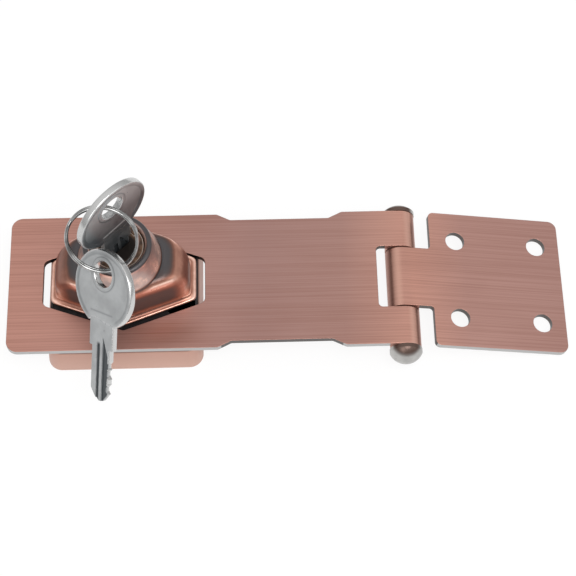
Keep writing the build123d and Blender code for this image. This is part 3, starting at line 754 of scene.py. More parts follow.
@dataclass
class Shell:
    """A closed surface on a grid: points in millimetres, faces, and the tone of each point."""

    points: np.ndarray
    faces: list
    tone: np.ndarray

    @classmethod
    def ring(cls, grid: np.ndarray, tone: "np.ndarray | float" = 0.0) -> "Shell":
        """Close a grid on itself both ways, as the skin of a ring.

        Args:
            grid: rows of points, each row a closed line.
            tone: the tone of each point, or of all.

        Returns:
            The shell.
        """
        rows, columns = grid.shape[:2]
        tones = np.broadcast_to(tone, (rows, columns)).ravel()
        return cls(grid.reshape(-1, 3), grid_faces(rows, columns, looped=True).tolist(), tones)

    @classmethod
    def tube(cls, grid: np.ndarray, tone: "np.ndarray | float" = 0.0) -> "Shell":
        """Close a grid whose rows are rings with a flat face at each end.

        Args:
            grid: rows of points, each row a closed line.
            tone: the tone of each point, or of all.

        Returns:
            The shell.
        """
        rows, columns = grid.shape[:2]
        faces = grid_faces(rows, columns).tolist()
        faces.append(list(range(columns))[::-1])
        faces.append(list(range((rows - 1) * columns, rows * columns)))
        return cls(grid.reshape(-1, 3), faces, np.broadcast_to(tone, (rows, columns)).ravel())

    def outward(self) -> "Shell":
        """Turn the faces over if the shell's signed volume is negative.

        The volume is a sixth of the sum of a . (b x c) over the fan triangles of each face.

        Returns:
            The same shell.
        """
        quads = np.array([face for face in self.faces if len(face) == 4])
        a, b, c, d = self.points[quads].transpose(1, 0, 2)
        volume = np.sum(a * np.cross(b, c)) + np.sum(a * np.cross(c, d))
        for face in self.faces:
            if len(face) != 4:
                fan = self.points[face]
                volume += np.sum(fan[0] * np.cross(fan[1:-1], fan[2:]))
        if volume < 0:
            self.faces = [face[::-1] for face in self.faces]
        return self


def make_piece(name: str, shells: Sequence[Shell], crease: float = 40.0) -> bpy.types.Object:
    """Make one mesh object from closed shells, with their tone as a point attribute.

    Args:
        name: the object's name.
        shells: its shells, in millimetres.
        crease: degrees between faces up to which shading is smooth.

    Returns:
        The object, linked into the scene.
    """
    faces, start = [], 0
    for shell in shells:
        faces.extend(tuple(k + start for k in face) for face in shell.outward().faces)
        start += len(shell.points)
    points = np.concatenate([shell.points for shell in shells]) * MM
    tones = np.concatenate([shell.tone for shell in shells]).astype(np.float32)
    mesh = bpy.data.meshes.new(name)
    mesh.from_pydata(points.tolist(), [], faces)
    mesh.attributes.new(TONE, "FLOAT", "POINT").data.foreach_set("value", tones)
    mesh.update()
    return show(name, mesh, crease)


def show(name: str, mesh: bpy.types.Mesh, crease: float) -> bpy.types.Object:
    """Link a mesh into the scene, shaded smooth between its creases.

    Args:
        name: the object's name.
        mesh: its mesh.
        crease: degrees between faces up to which shading is smooth.

    Returns:
        The object.
    """
    made = bpy.data.objects.new(name, mesh)
    bpy.context.scene.collection.objects.link(made)
    mesh.shade_smooth()
    mesh.set_sharp_from_angle(angle=np.radians(crease))
    return made


def about_axis(radius: np.ndarray, angle: np.ndarray, height: np.ndarray) -> np.ndarray:
    """Place points about the knob's axis, each at (r cos a, r sin a, height)."""
    x, y = radius * np.cos(angle), radius * np.sin(angle)
    return np.stack(np.broadcast_arrays(x, y, height), -1)


def lathe(profile: Sequence[tuple], columns: int = 120) -> np.ndarray:
    """Turn a profile of radii and heights about the knob's axis.

    Args:
        profile: radius and height of each point, in millimetres.
        columns: points round the axis.

    Returns:
        The grid of points, a row for each point of the profile.
    """
    radius, height = np.array(profile, float).T[:, :, None]
    return about_axis(radius, turn(columns)[None], height)


def slots_by_node(record: dict) -> dict[str, str]:
    """Read each node's material slot from the record."""
    return {entry["node"]: entry["material_slot"] for entry in record["subparts"]}


def dress(
    piece: bpy.types.Object, body: str, slot: str, finishes: Finishes, replaced: Sequence[str] = ()
) -> bpy.types.Object:
    """Give a piece its material, its body and the nodes that it stands for.

    Args:
        piece: the object.
        body: the CAD body that it moves with.
        slot: the record's material slot.
        finishes: where the material comes from.
        replaced: CAD nodes that it hides.

    Returns:
        The same object.
    """
    piece.data.materials.append(finishes.of(slot))
    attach(piece, body)
    if replaced:
        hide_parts(*replaced)
    LOG.info("%s: %d faces on %s", piece.name, len(piece.data.polygons), body)
    return piece


@dataclass
class SplitRing:
    """Two turns of wire that lie together, with a short step from one turn to the other."""

    name: str = "key_ring_wire"
    node: str = "split_ring"
    body: str = "ring"
    slot: str = "bright_wire"
    centre: tuple = (-2.17, -4.37, 37.98)
    tilt: float = 35.75
    yaw: float = -4.0
    radius: float = 7.525
    wire: float = 0.375
    gap: float = 0.355
    step_at: float = 215.0
    step_span: float = 26.0
    steps: int = 361
    sides: int = 16

    def build(self, finishes: Finishes) -> bpy.types.Object:
        """Build the wire: a circle of the wire's radius carried twice round the ring.

        The path is centre + R (cos a, sin a) in the ring's plane, and steps across by one wire's
        width, smoothly, over a few degrees of the turn between the two.

        Args:
            finishes: where the material comes from.

        Returns:
            The piece.
        """
        start = np.radians(self.step_at)
        a = start + np.linspace(0, 2 * TURN, self.steps)
        spread = self.step_span / (2 * FULL_CIRCLE)
        across = self.gap * (2 * smooth_step((a - start) / TURN, 1 - spread, 1 + spread) - 1)
        tilt, yaw = np.radians(self.tilt), np.radians(self.yaw)
        side = np.array([np.cos(yaw), np.sin(yaw), 0])
        down = np.array([np.sin(tilt) * np.sin(yaw), -np.sin(tilt) * np.cos(yaw), -np.cos(tilt)])
        normal = np.cross(side, down)
        radial = np.cos(a)[:, None] * side + np.sin(a)[:, None] * down
        path = np.array(self.centre) + self.radius * radial + across[:, None] * normal
        b = turn(self.sides)[None, :, None]
        section = radial[:, None] * np.cos(b) + normal * np.sin(b)
        made = make_piece(self.name, [Shell.tube(path[:, None] + self.wire * section)])
        return dress(made, self.body, self.slot, finishes, [self.node])


@dataclass(frozen=True)
class KnobPatinaAndPaintedLight:
    """Where the knob's body is dark, and where it gets painted highlights, in millimetres.

    A range is a distance at which a tone starts and one at which it is full. Each painted highlight
    is given as a place and a spread for each distance.
    """

    plain: float = 0.2
    deck_share: float = 0.95
    deck_reach: tuple = (10.4, 14.8)
    deck_oval: float = 1.1
    deck_below: tuple = (2.2, 0.25)
    # Painted dark reflection in the middle of the walls: its share, the heights where it starts and
    # ends, and its reach along X.
    wall_dark_reflection_share: float = 0.6
    wall_dark_reflection_from: tuple = (10.6, 12.6)
    wall_dark_reflection_to: tuple = (16.0, 18.6)
    wall_dark_reflection_ends: tuple = (10.5, 14.5)
    end_share: float = 0.3
    end_across: tuple = (12.0, 14.5)
    end_corner: tuple = (2.6, 4.6)
    left_share: float = 0.3
    left_across: tuple = (9.0, 12.5)
    left_above: tuple = (13.0, 18.0)
    # Painted highlights on the front ridge, its corners and the upright edges.
    ridge_highlight: float = 0.2
    ridge_highlight_at: tuple = (20.0, 0.55)
    ridge_highlight_across: tuple = (3.0, 8.0)
    ridge_highlight_deep: tuple = (5.0, 7.5)
    corner_highlight: float = 0.85
    corner_highlight_at: tuple = ((9.8, 3.6), (7.6, 2.4), (19.7, 1.2))
    upright_highlight: float = 0.18
    upright_highlight_at: tuple = ((14.6, 1.3), (5.0, 1.3))

    def tone(self, grid: np.ndarray, deck: float) -> np.ndarray:
        """Take the darkest of the deck, the walls' painted dark reflection, the ends and the left
        side.

        The ridge, its corners and the upright edges get painted highlights by their shares.

        Args:
            grid: the body's points.
            deck: the deck's height.

        Returns:
            The tone of each point.
        """
        x, y, z = grid.transpose(2, 0, 1)
        wide, deep = np.abs(x), np.abs(y)
        near = 1 - smooth_step(np.hypot(x, y * self.deck_oval), *self.deck_reach)
        start, full = self.deck_below
        flat = smooth_step(z, deck - start, deck - full) * near
        # Painted dark reflection in the middle of the walls.
        wall_dark_reflection = smooth_step(z, *self.wall_dark_reflection_from) * (1 - smooth_step(z, *self.wall_dark_reflection_to))
        wall_dark_reflection = wall_dark_reflection * (1 - smooth_step(wide, *self.wall_dark_reflection_ends))
        ends = smooth_step(wide, *self.end_across) * (1 - smooth_step(deep, *self.end_corner))
        left = smooth_step(-x, *self.left_across) * smooth_step(z, *self.left_above)
        walls = [self.wall_dark_reflection_share * wall_dark_reflection, self.end_share * ends, self.left_share * left]
        dark = np.maximum(self.deck_share * flat, self.plain + np.maximum.reduce(walls))
        # Painted highlights on the ridge, its corners and the upright edges.
        ridge = smooth_step(deep, *self.ridge_highlight_deep) * smooth_step(wide, *self.ridge_highlight_across)
        ridge = hump(z, *self.ridge_highlight_at) * ridge
        corner = np.prod([hump(v, *at) for v, at in zip((wide, deep, z), self.corner_highlight_at)], axis=0)
        upright = np.prod([hump(v, *at) for v, at in zip((wide, deep), self.upright_highlight_at)], axis=0)
        tone = dark - self.ridge_highlight * ridge - self.corner_highlight * corner
        return np.clip(tone - self.upright_highlight * upright, 0, 1)


@dataclass
class TurnKnob:
    """Cast knob: six-sided lip and body, flared boss, notched disc and hollow spindle.

    Lengths are in millimetres and angles in degrees. An outline is the distance of the end walls,
    half the length of an end wall and the reach of the two side corners.
    """

    name: str = "cast_knob"
    node: str = "turn_knob"
    body: str = "knob"
    slot: str = "copper_cast"
    columns: int = 240
    crease: float = 50.0
    bore: float = 6.02
    lip_levels: tuple = (9.35, 10.15)
    lip_outline: tuple = (16.4, 5.22, 11.4)
    lip_corners: float = 34.0
    lip_front: tuple = (12.5, 15.0)
    lip_front_tone: float = 0.3
    lip_highlight: float = 0.12
    foot_outline: tuple = (15.3, 4.67, 10.3)
    foot_corners: float = 13.0
    foot_sunk: float = 0.3
    taper: float = 4.0
    wall_rows: int = 26
    deck: float = 20.6
    deck_rows: tuple = (0.12, 0.28, 0.46, 0.64, 0.82, 1.0)
    deck_seen: int = 2
    ridge: float = 1.5
    ridge_rows: int = 13
    end_centre: tuple = (7.61, 13.57)
    end_radius: float = 7.456
    end_from: float = 14.05
    end_lean: float = 0.25
    boss_foot: float = 9.4
    boss_top: float = 7.6
    boss_rim: float = 0.8
    boss_sunk: float = 0.15
    boss_tuck: tuple = (0.5, 0.7)
    boss_ease: float = 0.06
    boss_root: float = 18.6
    boss_columns: int = 160
    boss_rows: int = 22
    rim_rows: int = 7
    flare_tone: tuple = (0.8, 0.06)
    flare_above: tuple = (0.1, 0.9)
    crown_below: tuple = (0.75, 0.45)
    crown_reach: tuple = (6.3, 6.5)
    # A painted highlight line round the boss just under its rim: its depth below the top, its
    # spread and its share.
    painted_rim_line: tuple = (1.0, 0.16)
    rim_highlight: float = 0.2
    top: float = 27.4
    mouth: tuple = ((6.55, 0.0), (6.3, 0.08), (6.12, 0.3), (6.02, 0.5))
    disc_radius: float = 10.0
    disc_bore: float = 7.1
    disc_levels: tuple = (8.1, 9.3)
    notch_depth: float = 1.85
    notch_at: float = 135.0
    notch_half: tuple = (50.4, 51.2)
    spindle: tuple = (7.0, 5.23)
    spindle_levels: tuple = (0.5, 9.3)
    spindle_ease: float = 0.1
    clip_groove: tuple = (6.5, 0.7, 1.4)
    tail_bore: tuple = (3.06, 7.4, 9.0)
    window_half: float = 1.6
    window_play: float = 0.1
    window_columns: int = 72
    hidden_tone: float = 0.9
    # Patination of the body, with its painted highlights and painted dark reflection.
    patina_and_painted_light: KnobPatinaAndPaintedLight = KnobPatinaAndPaintedLight()

    def build(self, finishes: Finishes) -> bpy.types.Object:
        """Build the shells of the casting and dress them.

        Args:
            finishes: where the material comes from.

        Returns:
            The piece.
        """
        shells = [self._lip(), self._body(), self._boss(), self._disc(), *self._spindle()]
        made = make_piece(self.name, shells, self.crease)
        return dress(made, self.body, self.slot, finishes, [self.node])

    def _outline(
        self, ends: np.ndarray, sides: np.ndarray, slant: float, power: float
    ) -> np.ndarray:
        """Give the radius of a six-sided outline at each angle.

        The outline is the set where the sum over its six walls of (r cos(a - wall) / distance)^m is
        one, which is the hexagon with corners that are rounder the smaller m is.

        Args:
            ends: distance of the two end walls, one for each row.
            sides: distance of the four slanted walls, one for each row.
            slant: degrees from +X to a slanted wall's normal.
            power: the exponent m.

        Returns:
            Rows of radii.
        """
        a = turn(self.columns)[None]
        walls = [(0.0, ends), (180.0, ends)]
        walls += [(wall, sides) for wall in (slant, 180 - slant, 180 + slant, -slant)]
        total = np.zeros((len(ends), self.columns))
        for wall, distance in walls:
            total += (np.clip(np.cos(a - np.radians(wall)), 0, None) / distance[:, None]) ** power
        return total ** (-1 / power)

    def _grid(self, radius: np.ndarray, height: np.ndarray) -> np.ndarray:
        """Place rows of radii at their heights."""
        return about_axis(radius, turn(self.columns)[None], height[:, None])

    @staticmethod
    def _walls(outline: tuple) -> tuple[float, float]:
        """Work out a hexagon's slanted walls: atan(length / (point - half end)), and its reach.

        Args:
            outline: the distance of the ends, half an end's length and the side corners' reach.

        Returns:
            The slant of their normals in degrees, and their distance.
        """
        length, end_half, point = outline
        slant = np.arctan2(length, point - end_half)
        return float(np.degrees(slant)), float(point * np.sin(slant))

    def _lip(self) -> Shell:
        """Lip: the hexagon's rim with an eased outer edge and a concave fillet up to the body.

        Each row is an inset from the outline, a height and a tone. Two rows at the bore close it.

        Returns:
            The shell.
        """
        slant, side = self._walls(self.lip_outline)
        low, high = self.lip_levels
        # Tone by row: painted shade down the side towards the gap below (0.6 to 0.9), and a painted
        # highlight on the outer top edge (0.1).
        inset, height, tone = np.array([
            (0.2, low, 0.9), (0.03, low + 0.06, 0.8), (0.0, low + 0.2, 0.6),
            (0.0, high - 0.26, 0.35), (0.05, high - 0.1, 0.1), (0.16, high - 0.02, 0.1),
            (0.3, high, 0.15), (0.5, high, 0.2), (0.72, high + 0.04, 0.3),
            (0.9, high + 0.16, 0.35), (1.03, high + 0.36, 0.3), (1.1, high + 0.62, 0.25),
            (1.3, high + 0.7, 0.3),
        ]).T
        radius = self._outline(self.lip_outline[0] - inset, side - inset, slant, self.lip_corners)
        radius = np.vstack([radius, np.full((2, self.columns), self.bore)])
        grid = self._grid(radius, np.append(height, [high, low]))
        tone = np.append(tone, [self.hidden_tone] * 2)[:, None]
        # Rows above the painted highlight's tone are darker along the front and back and lighter at
        # the ends.
        front = self.lip_front_tone * (1 - smooth_step(np.abs(grid[..., 0]), *self.lip_front))
        tone = tone + (front - self.lip_highlight) * (tone > self.lip_highlight)
        return Shell.ring(grid, np.clip(tone, 0, 1))

    def _body(self) -> Shell:
        """Body: walls that lean in, ends that curve over on an arc, a rounded ridge and a deck.

        Slanted walls stand at d - tan(taper) (z - foot), less R (1 - cos q) over the ridge, where
        z is deck - R + R sin q. End walls follow the arc in the middle plane. The deck's rows past
        the first few lie under the boss, and are the darkest.

        Returns:
            The shell.
        """
        slant, side = self._walls(self.foot_outline)
        foot = self.lip_levels[1] - self.foot_sunk
        q = quarter(self.ridge_rows)
        straight = np.linspace(foot, self.deck - self.ridge, self.wall_rows)
        height = np.append(straight, self.deck - self.ridge * (1 - np.sin(q)))
        inset = np.append(np.zeros(self.wall_rows), self.ridge * (1 - np.cos(q)))
        sides = side - np.tan(np.radians(self.taper)) * (height - foot) - inset
        lean = self.end_lean * (height - foot) / (self.end_from - foot)
        arc = self.end_centre[0] + np.sqrt(self.end_radius**2 - (height - self.end_centre[1]) ** 2)
        ends = np.where(height < self.end_from, self.foot_outline[0] - lean, arc)
        walls = self._outline(ends, sides, slant, self.foot_corners)
        share = np.array(self.deck_rows)[:, None]
        deck = walls[-1] * (1 - share) + self.bore * share
        rows = np.vstack([walls, deck, np.full((1, self.columns), self.bore)])
        grid = self._grid(rows, np.concatenate([height, np.full(len(share), self.deck), [foot]]))
        tone = self.patina_and_painted_light.tone(grid, self.deck)
        tone[len(height) + self.deck_seen:] = 1.0
        return Shell.ring(grid, tone)

    def _boss(self) -> Shell:
        """Boss: a collar that flares to its foot, with an eased rim round the plug's bore.

        Its outer radius is top + (foot - top) t^1.5, where t runs from zero under the rim to one
        at the foot, and the rim turns in on a quarter circle.

        Returns:
            The shell.
        """
        foot = self.deck + self.boss_sunk
        t = np.linspace(1, 0, self.boss_rows)
        radius = self.boss_top + (self.boss_foot - self.boss_top) * t**1.5
        height = foot + (self.top - self.boss_rim - foot) * (1 - t)
        q = quarter(self.rim_rows)
        rim = self.boss_rim * (1 - np.array([np.cos(q), np.sin(q)]))
        inset, drop = self.boss_tuck
        profile = [
            (self.bore, self.boss_root), (self.boss_top, self.boss_root),
            (self.boss_foot - inset, self.deck - drop),
            (self.boss_foot - self.boss_ease, self.deck - self.boss_sunk),
            *zip(radius, height), *zip(self.boss_top - rim[0], self.top - rim[1]),
            *((r, self.top - below) for r, below in self.mouth),
        ]
        grid = lathe(profile, self.boss_columns)
        z = grid[..., 2]
        reach = np.hypot(grid[..., 0], grid[..., 1])
        share, least = self.flare_tone
        flare = share * (1 - smooth_step(z, *(self.deck + h for h in self.flare_above))) + least
        crown = smooth_step(z, *(self.top - h for h in self.crown_below))
        crown = crown * smooth_step(reach, *self.crown_reach)
        # Painted highlight line just under the rim.
        bright = self.rim_highlight * hump(z, self.top - self.painted_rim_line[0], self.painted_rim_line[1])
        return Shell.ring(grid, np.clip(np.maximum(flare - bright, crown), 0, 1))

    def _disc(self) -> Shell:
        """Notched disc under the lip, which turns against the stop pin.

        Its edge is a circle that steps in by the pin's width over the quarter turn of the notch.

        Returns:
            The shell.
        """
        a = turn(self.columns)[None]
        notch = 1 - smooth_step(np.abs(np.degrees(a) - self.notch_at), *self.notch_half)
        edge = self.disc_radius - self.notch_depth * notch
        bore = self.disc_bore + 0 * a
        low, high = self.disc_levels
        rows = np.vstack([edge, edge, bore, bore])
        return Shell.ring(self._grid(rows, np.array([low, high, high, low])), self.hidden_tone)

    def _spindle(self) -> list[Shell]:
        """Hollow spindle: a foot with the clip's groove, a wall round the bolt's window, a top.

        The foot and the top are turned, and the wall is its rectangle carried round the axis from
        one side of the window to the other, at asin(half / r) from +X on each radius r.

        Returns:
            The three shells.
        """
        low, high = np.array(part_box("side_bolt")) / MM
        sill, head = low[2] - self.window_play, high[2] + self.window_play
        outer, inner = self.spindle
        foot, top = self.spindle_levels
        groove, under, over = self.clip_groove
        tail, web, recess = self.tail_bore
        ease = self.spindle_ease
        lower = [
            (inner, foot), (outer - ease, foot), (outer, foot + ease), (outer, under),
            (groove, under), (groove, over), (outer, over), (outer, sill), (inner, sill),
        ]
        upper = [
            (inner, head), (outer, head), (outer, top), (self.bore, top), (self.bore, recess),
            (tail, recess), (tail, web), (inner, web),
        ]
        corners = np.array([(outer, sill), (outer, head), (inner, head), (inner, sill)])
        start = np.arcsin(self.window_half / corners[:, 0])
        a = start + np.linspace(0, 1, self.window_columns)[:, None] * (TURN - 2 * start)
        wall = about_axis(corners[:, 0], a, corners[:, 1])
        turned = [Shell.ring(lathe(profile), self.hidden_tone) for profile in (lower, upper)]
        return [turned[0], Shell.tube(wall, self.hidden_tone), turned[1]]


@dataclass(frozen=True)
class Groove:
    """A groove milled along a key's blade, in millimetres: its left wall, width, top and run-out.

    Where it has a slant, its right wall leans out over that length below a pointed top.
    """

    left: float
    width: float
    top: float
    run: float
    depth: float = 0.35
    slant: float = 0.0
    wall: float = 0.14
    tip_share: float = 0.02

    def milled(self, s: np.ndarray, t: np.ndarray) -> np.ndarray:
        """Give the depth: one between the walls and zero outside, times a step below the top.

        Args:
            s: place across the key.
            t: place along the key.

        Returns:
            The depth at each point.
        """
        below = self.top - t
        wide = np.clip(below / self.slant, self.tip_share, 1) if self.slant else 1
        right = self.left + self.width * wide
        inside = smooth_step(s, self.left, self.left + self.wall)
        inside = inside * (1 - smooth_step(s, right - self.wall, right))
        return self.depth * inside * smooth_step(below, 0, self.run)


@dataclass
class CutKey:
    """A stamped key: oval bow with a raised rim and a collared hole, shank, grooved and cut blade.

    The key lies in its own plane, in millimetres: s runs across, t up the bow from the hole's
    centre, and h out of the face.
    """

    name: str
    node: str
    body: str
    hole: tuple
    across: np.ndarray
    up: np.ndarray
    face: np.ndarray
    slot: str = "nickel"
    crease: float = 32.0
    # Painted shade that darkens the key below its hole.
    painted_shade: float = 0.0
    # A painted line across the neck: shade where it is positive, a highlight where it is negative.
    painted_neck_line: float = 0.42
    painted_neck_line_at: float = -8.5
    painted_neck_line_width: float = 0.2
    painted_neck_line_half: tuple = (3.4, 3.9)
    bow_columns: int = 288
    bow_half: tuple = (9.2, 8.69)
    bow_drop: float = 3.3
    hole_radius: float = 2.85
    bow_half_thickness: float = 0.8
    bow_round: float = 0.3
    relief: float = 0.15
    half_thickness: float = 0.7
    blade_round: float = 0.16
    near_rows: tuple = (0, 0.03, 0.1, 0.2, 0.34, 0.75, 0.95, 1.15)
    far_rows: tuple = (1.4, 1.15, 0.95, 0.34, 0.2, 0.1, 0.03, 0)
    field_rows: int = 34
    collar: tuple = (0.8, 1.15)
    # Painted dark lines in the creases where the field steps down at the collar and the rim.
    painted_collar_line: tuple = (0.95, 0.15)
    rim: tuple = (0.95, 1.35)
    painted_rim_line: tuple = (1.05, 0.15)
    painted_line_tone: float = 0.5
    # Worn bow edges, brightened as a painted highlight.
    bow_polish_highlight: tuple = (0.12, 0.3)
    neck: tuple = (4.5, 8.5)
    neck_half: tuple = (3.6, 5.6)
    # Heights over which the painted shade below the hole builds up.
    painted_shade_run: tuple = (-4.5, 8.5)
    step: float = -10.4
    step_rise: float = 0.35
    shank_top: float = -9.7
    shank_half: float = 3.8
    shank_corner: tuple = (0.3, 0.5)
    shank_below: float = -0.2
    shank_rows: int = 56
    shoulder: float = -16.4
    shoulder_step: float = 0.02
    blade_rows: int = 104
    blade_columns: int = 56
    blade_edge: int = 4
    # Worn blade edges, brightened as a painted highlight.
    blade_polish_highlight: tuple = (0.05, 0.15)
    blade_half: float = 2.9
    tip: float = -28.5
    tip_half: float = 0.9
    point: float = 2.4
    cut_levels: tuple = (-27.4, -25.6, -23.8, -22.0, -20.2)
    cut_depths: tuple = (0.5, 1.0, 0.3, 0.8, 0.6)
    cut_flat: float = 0.45
    front_grooves: tuple = (
        Groove(-1.25, 1.05, -15.0, 1.2), Groove(0.55, 1.9, -13.5, 0.8, 0.38, slant=4.5),
    )
    back_groove: Groove = Groove(-0.35, 0.7, -15.4, 0.8)
    pit_at: tuple = (1.0, -12.3)
    pit_depth: float = 0.12
    pit_spread: float = 0.03
    # Painted shade in the grooves and the pit, by their depth.
    groove_shade: float = 3.2

    def build(self, finishes: Finishes) -> bpy.types.Object:
        """Build the bow and the shank with its blade, and dress them."""
        made = make_piece(self.name, [self._bow(), self._blade()], self.crease)
        return dress(made, self.body, self.slot, finishes, [self.node])

    def _place(self, s: np.ndarray, t: np.ndarray, h: np.ndarray) -> np.ndarray:
        """Carry points of the key's own plane to their place."""
        s, t, h = s[..., None], t[..., None], h[..., None]
        return np.array(self.hole) + s * self.across + t * self.up + h * self.face

    def _bow_reach(self, a: np.ndarray) -> np.ndarray:
        """Give the distance from the hole to the bow's edge at each angle.

        It solves (s / W)^2 + ((t + drop) / H)^2 = 1 along the ray, and follows the step's line
        across the shank, on rays that point down by more than shank_below.

        Args:
            a: angles from the key's width, in radians.

        Returns:
            The distance at each angle.
        """
        width, height = self.bow_half
        c, s = np.cos(a), np.sin(a)
        p = (c / width) ** 2 + (s / height) ** 2
        q = s * self.bow_drop / height**2
        oval = (-q + np.sqrt(q**2 - p * ((self.bow_drop / height) ** 2 - 1))) / p
        down = np.minimum(s, self.shank_below)
        level = self.step - self.step_rise * np.tanh(c / down * self.step)
        inside, outside = self.shank_corner
        corner = (self.shank_half - inside, self.shank_half + outside)
        share = 1 - smooth_step(np.abs(oval * c), *corner)
        stepped = oval + (np.minimum(level / down, oval) - oval) * share
        return np.where(s < self.shank_below, stepped, oval)

    def _bow(self) -> Shell:
        """Bow: a section from the hole's edge out to the rim and back, carried round the hole.

        The face stands at T less a round at each edge, R (1 - sqrt(1 - (1 - e)^2)), less the relief
        of its field. The rim and the collar have a painted dark line, the neck has a painted line,
        and the edges are worn and brightened as a painted highlight.

        Returns:
            The shell.
        """
        a = turn(self.bow_columns)[:, None]
        reach = self._bow_reach(a)
        near, far = np.array(self.near_rows), np.array(self.far_rows)
        share = np.linspace(0, 1, self.field_rows + 2)[1:-1]
        first, last = self.hole_radius + near[-1], reach - far[0]
        middle = first + (last - first) * share
        rho = np.hstack([self.hole_radius + near + 0 * a, middle, reach - far])
        inner, outer = rho - self.hole_radius, reach - rho
        s, t = rho * np.cos(a), rho * np.sin(a)
        neck = smooth_step(-t, *self.neck) * (1 - smooth_step(np.abs(s), *self.neck_half))
        low = smooth_step(inner, *self.collar) * smooth_step(outer, *self.rim) * (1 - neck)
        rounding = self._rounding(np.minimum(inner, outer), self.bow_round)
        height = self.bow_half_thickness - rounding - self.relief * low
        grid = np.hstack([self._place(s, t, height), self._place(s, t, -height)[:, ::-1]])
        # Worn edges, brightened as a painted highlight.
        polish_highlight = 1 - smooth_step(np.minimum(inner, outer), *self.bow_polish_highlight)
        # Painted dark lines along the rim and the collar, and a painted line across the neck.
        line = hump(outer, *self.painted_rim_line) + hump(inner, *self.painted_collar_line)
        painted_neck_line = hump(t, self.painted_neck_line_at, self.painted_neck_line_width)
        painted_neck_line = painted_neck_line * (1 - smooth_step(np.abs(s), *self.painted_neck_line_half))
        tone = self._darkening_with_painted_shade(t) + self.painted_line_tone * line * (1 - neck) - polish_highlight + self.painted_neck_line * painted_neck_line
        return Shell.ring(grid, np.hstack([tone, tone[:, ::-1]]))

    @staticmethod
    def _rounding(inside: np.ndarray, radius: float) -> np.ndarray:
        """Drop of a face near its edge: R (1 - sqrt(1 - (1 - e)^2)) at e radii inside it."""
        edge = np.minimum(inside, radius) / radius
        return radius * (1 - np.sqrt(np.clip(1 - (1 - edge) ** 2, 0, 1)))

    def _darkening_with_painted_shade(self, t: np.ndarray) -> np.ndarray:
        """Give the painted shade, which grows darker below the hole. Worn edges, brightened as a
        painted highlight, have a tone below zero.
        """
        return self.painted_shade * smooth_step(-t, *self.painted_shade_run)

    def _half_widths(self, t: np.ndarray) -> tuple[np.ndarray, np.ndarray]:
        """Give the left and right edges at each level, with the shoulder, the cuts and the point.

        A cut is as deep as its depth less |t - level| beyond its flat, so its sides lean at 45
        degrees.

        Args:
            t: place along the key.

        Returns:
            The two edges.
        """
        half = np.where(t > self.shoulder, self.shank_half, self.blade_half)
        pointed = np.clip((t - self.tip) / self.point, 0, 1)
        nose = self.tip_half + (self.blade_half - self.tip_half) * pointed
        half = np.where(pointed < 1, np.minimum(half, nose), half)
        right = half
        for level, depth in zip(self.cut_levels, self.cut_depths):
            cut = depth - np.clip(np.abs(t - level) - self.cut_flat, 0, None)
            cut_edge = self.blade_half - np.clip(cut, 0, depth)
            right = np.where(t > self.shoulder, right, np.minimum(right, cut_edge))
        return -half, right

    def _blade(self) -> Shell:
        """Shank and blade: a section with eased edges and milled grooves, carried down the key.

        Returns:
            The shell.
        """
        t = np.concatenate([
            np.linspace(self.shank_top, self.shoulder + self.shoulder_step, self.shank_rows),
            np.linspace(self.shoulder - self.shoulder_step, self.tip, self.blade_rows),
        ])[:, None]
        left, right = self._half_widths(t)
        ease = self.blade_round * (1 - np.cos(np.append(0.0, quarter(self.blade_edge))))
        along = np.linspace(0, 1, self.blade_columns)
        flat = left + ease[-1] + (right - left - 2 * ease[-1]) * along
        s = np.hstack([left + ease[:-1], flat, right - ease[-2::-1]])
        inside = np.minimum(s - left, right - s)
        face = self.half_thickness - self._rounding(inside, self.blade_round)
        from_pit = (s - self.pit_at[0]) ** 2 + (t - self.pit_at[1]) ** 2
        pit = self.pit_depth * np.exp(-from_pit / self.pit_spread)
        front = sum(groove.milled(s, t) for groove in self.front_grooves) + pit
        back = self.back_groove.milled(s, t)
        level = t + 0 * s
        behind = self._place(s, level, back - face)[:, ::-1]
        grid = np.hstack([self._place(s, level, face - front), behind])
        # Worn edges, brightened as a painted highlight.
        polish_highlight = 1 - smooth_step(inside, *self.blade_polish_highlight)
        # Painted shade below the hole and in the grooves, less the worn edges' painted highlight.
        tones = [self._darkening_with_painted_shade(t) + self.groove_shade * depth - polish_highlight for depth in (front, back)]
        return Shell.tube(grid, np.hstack([tones[0], tones[1][:, ::-1]]))


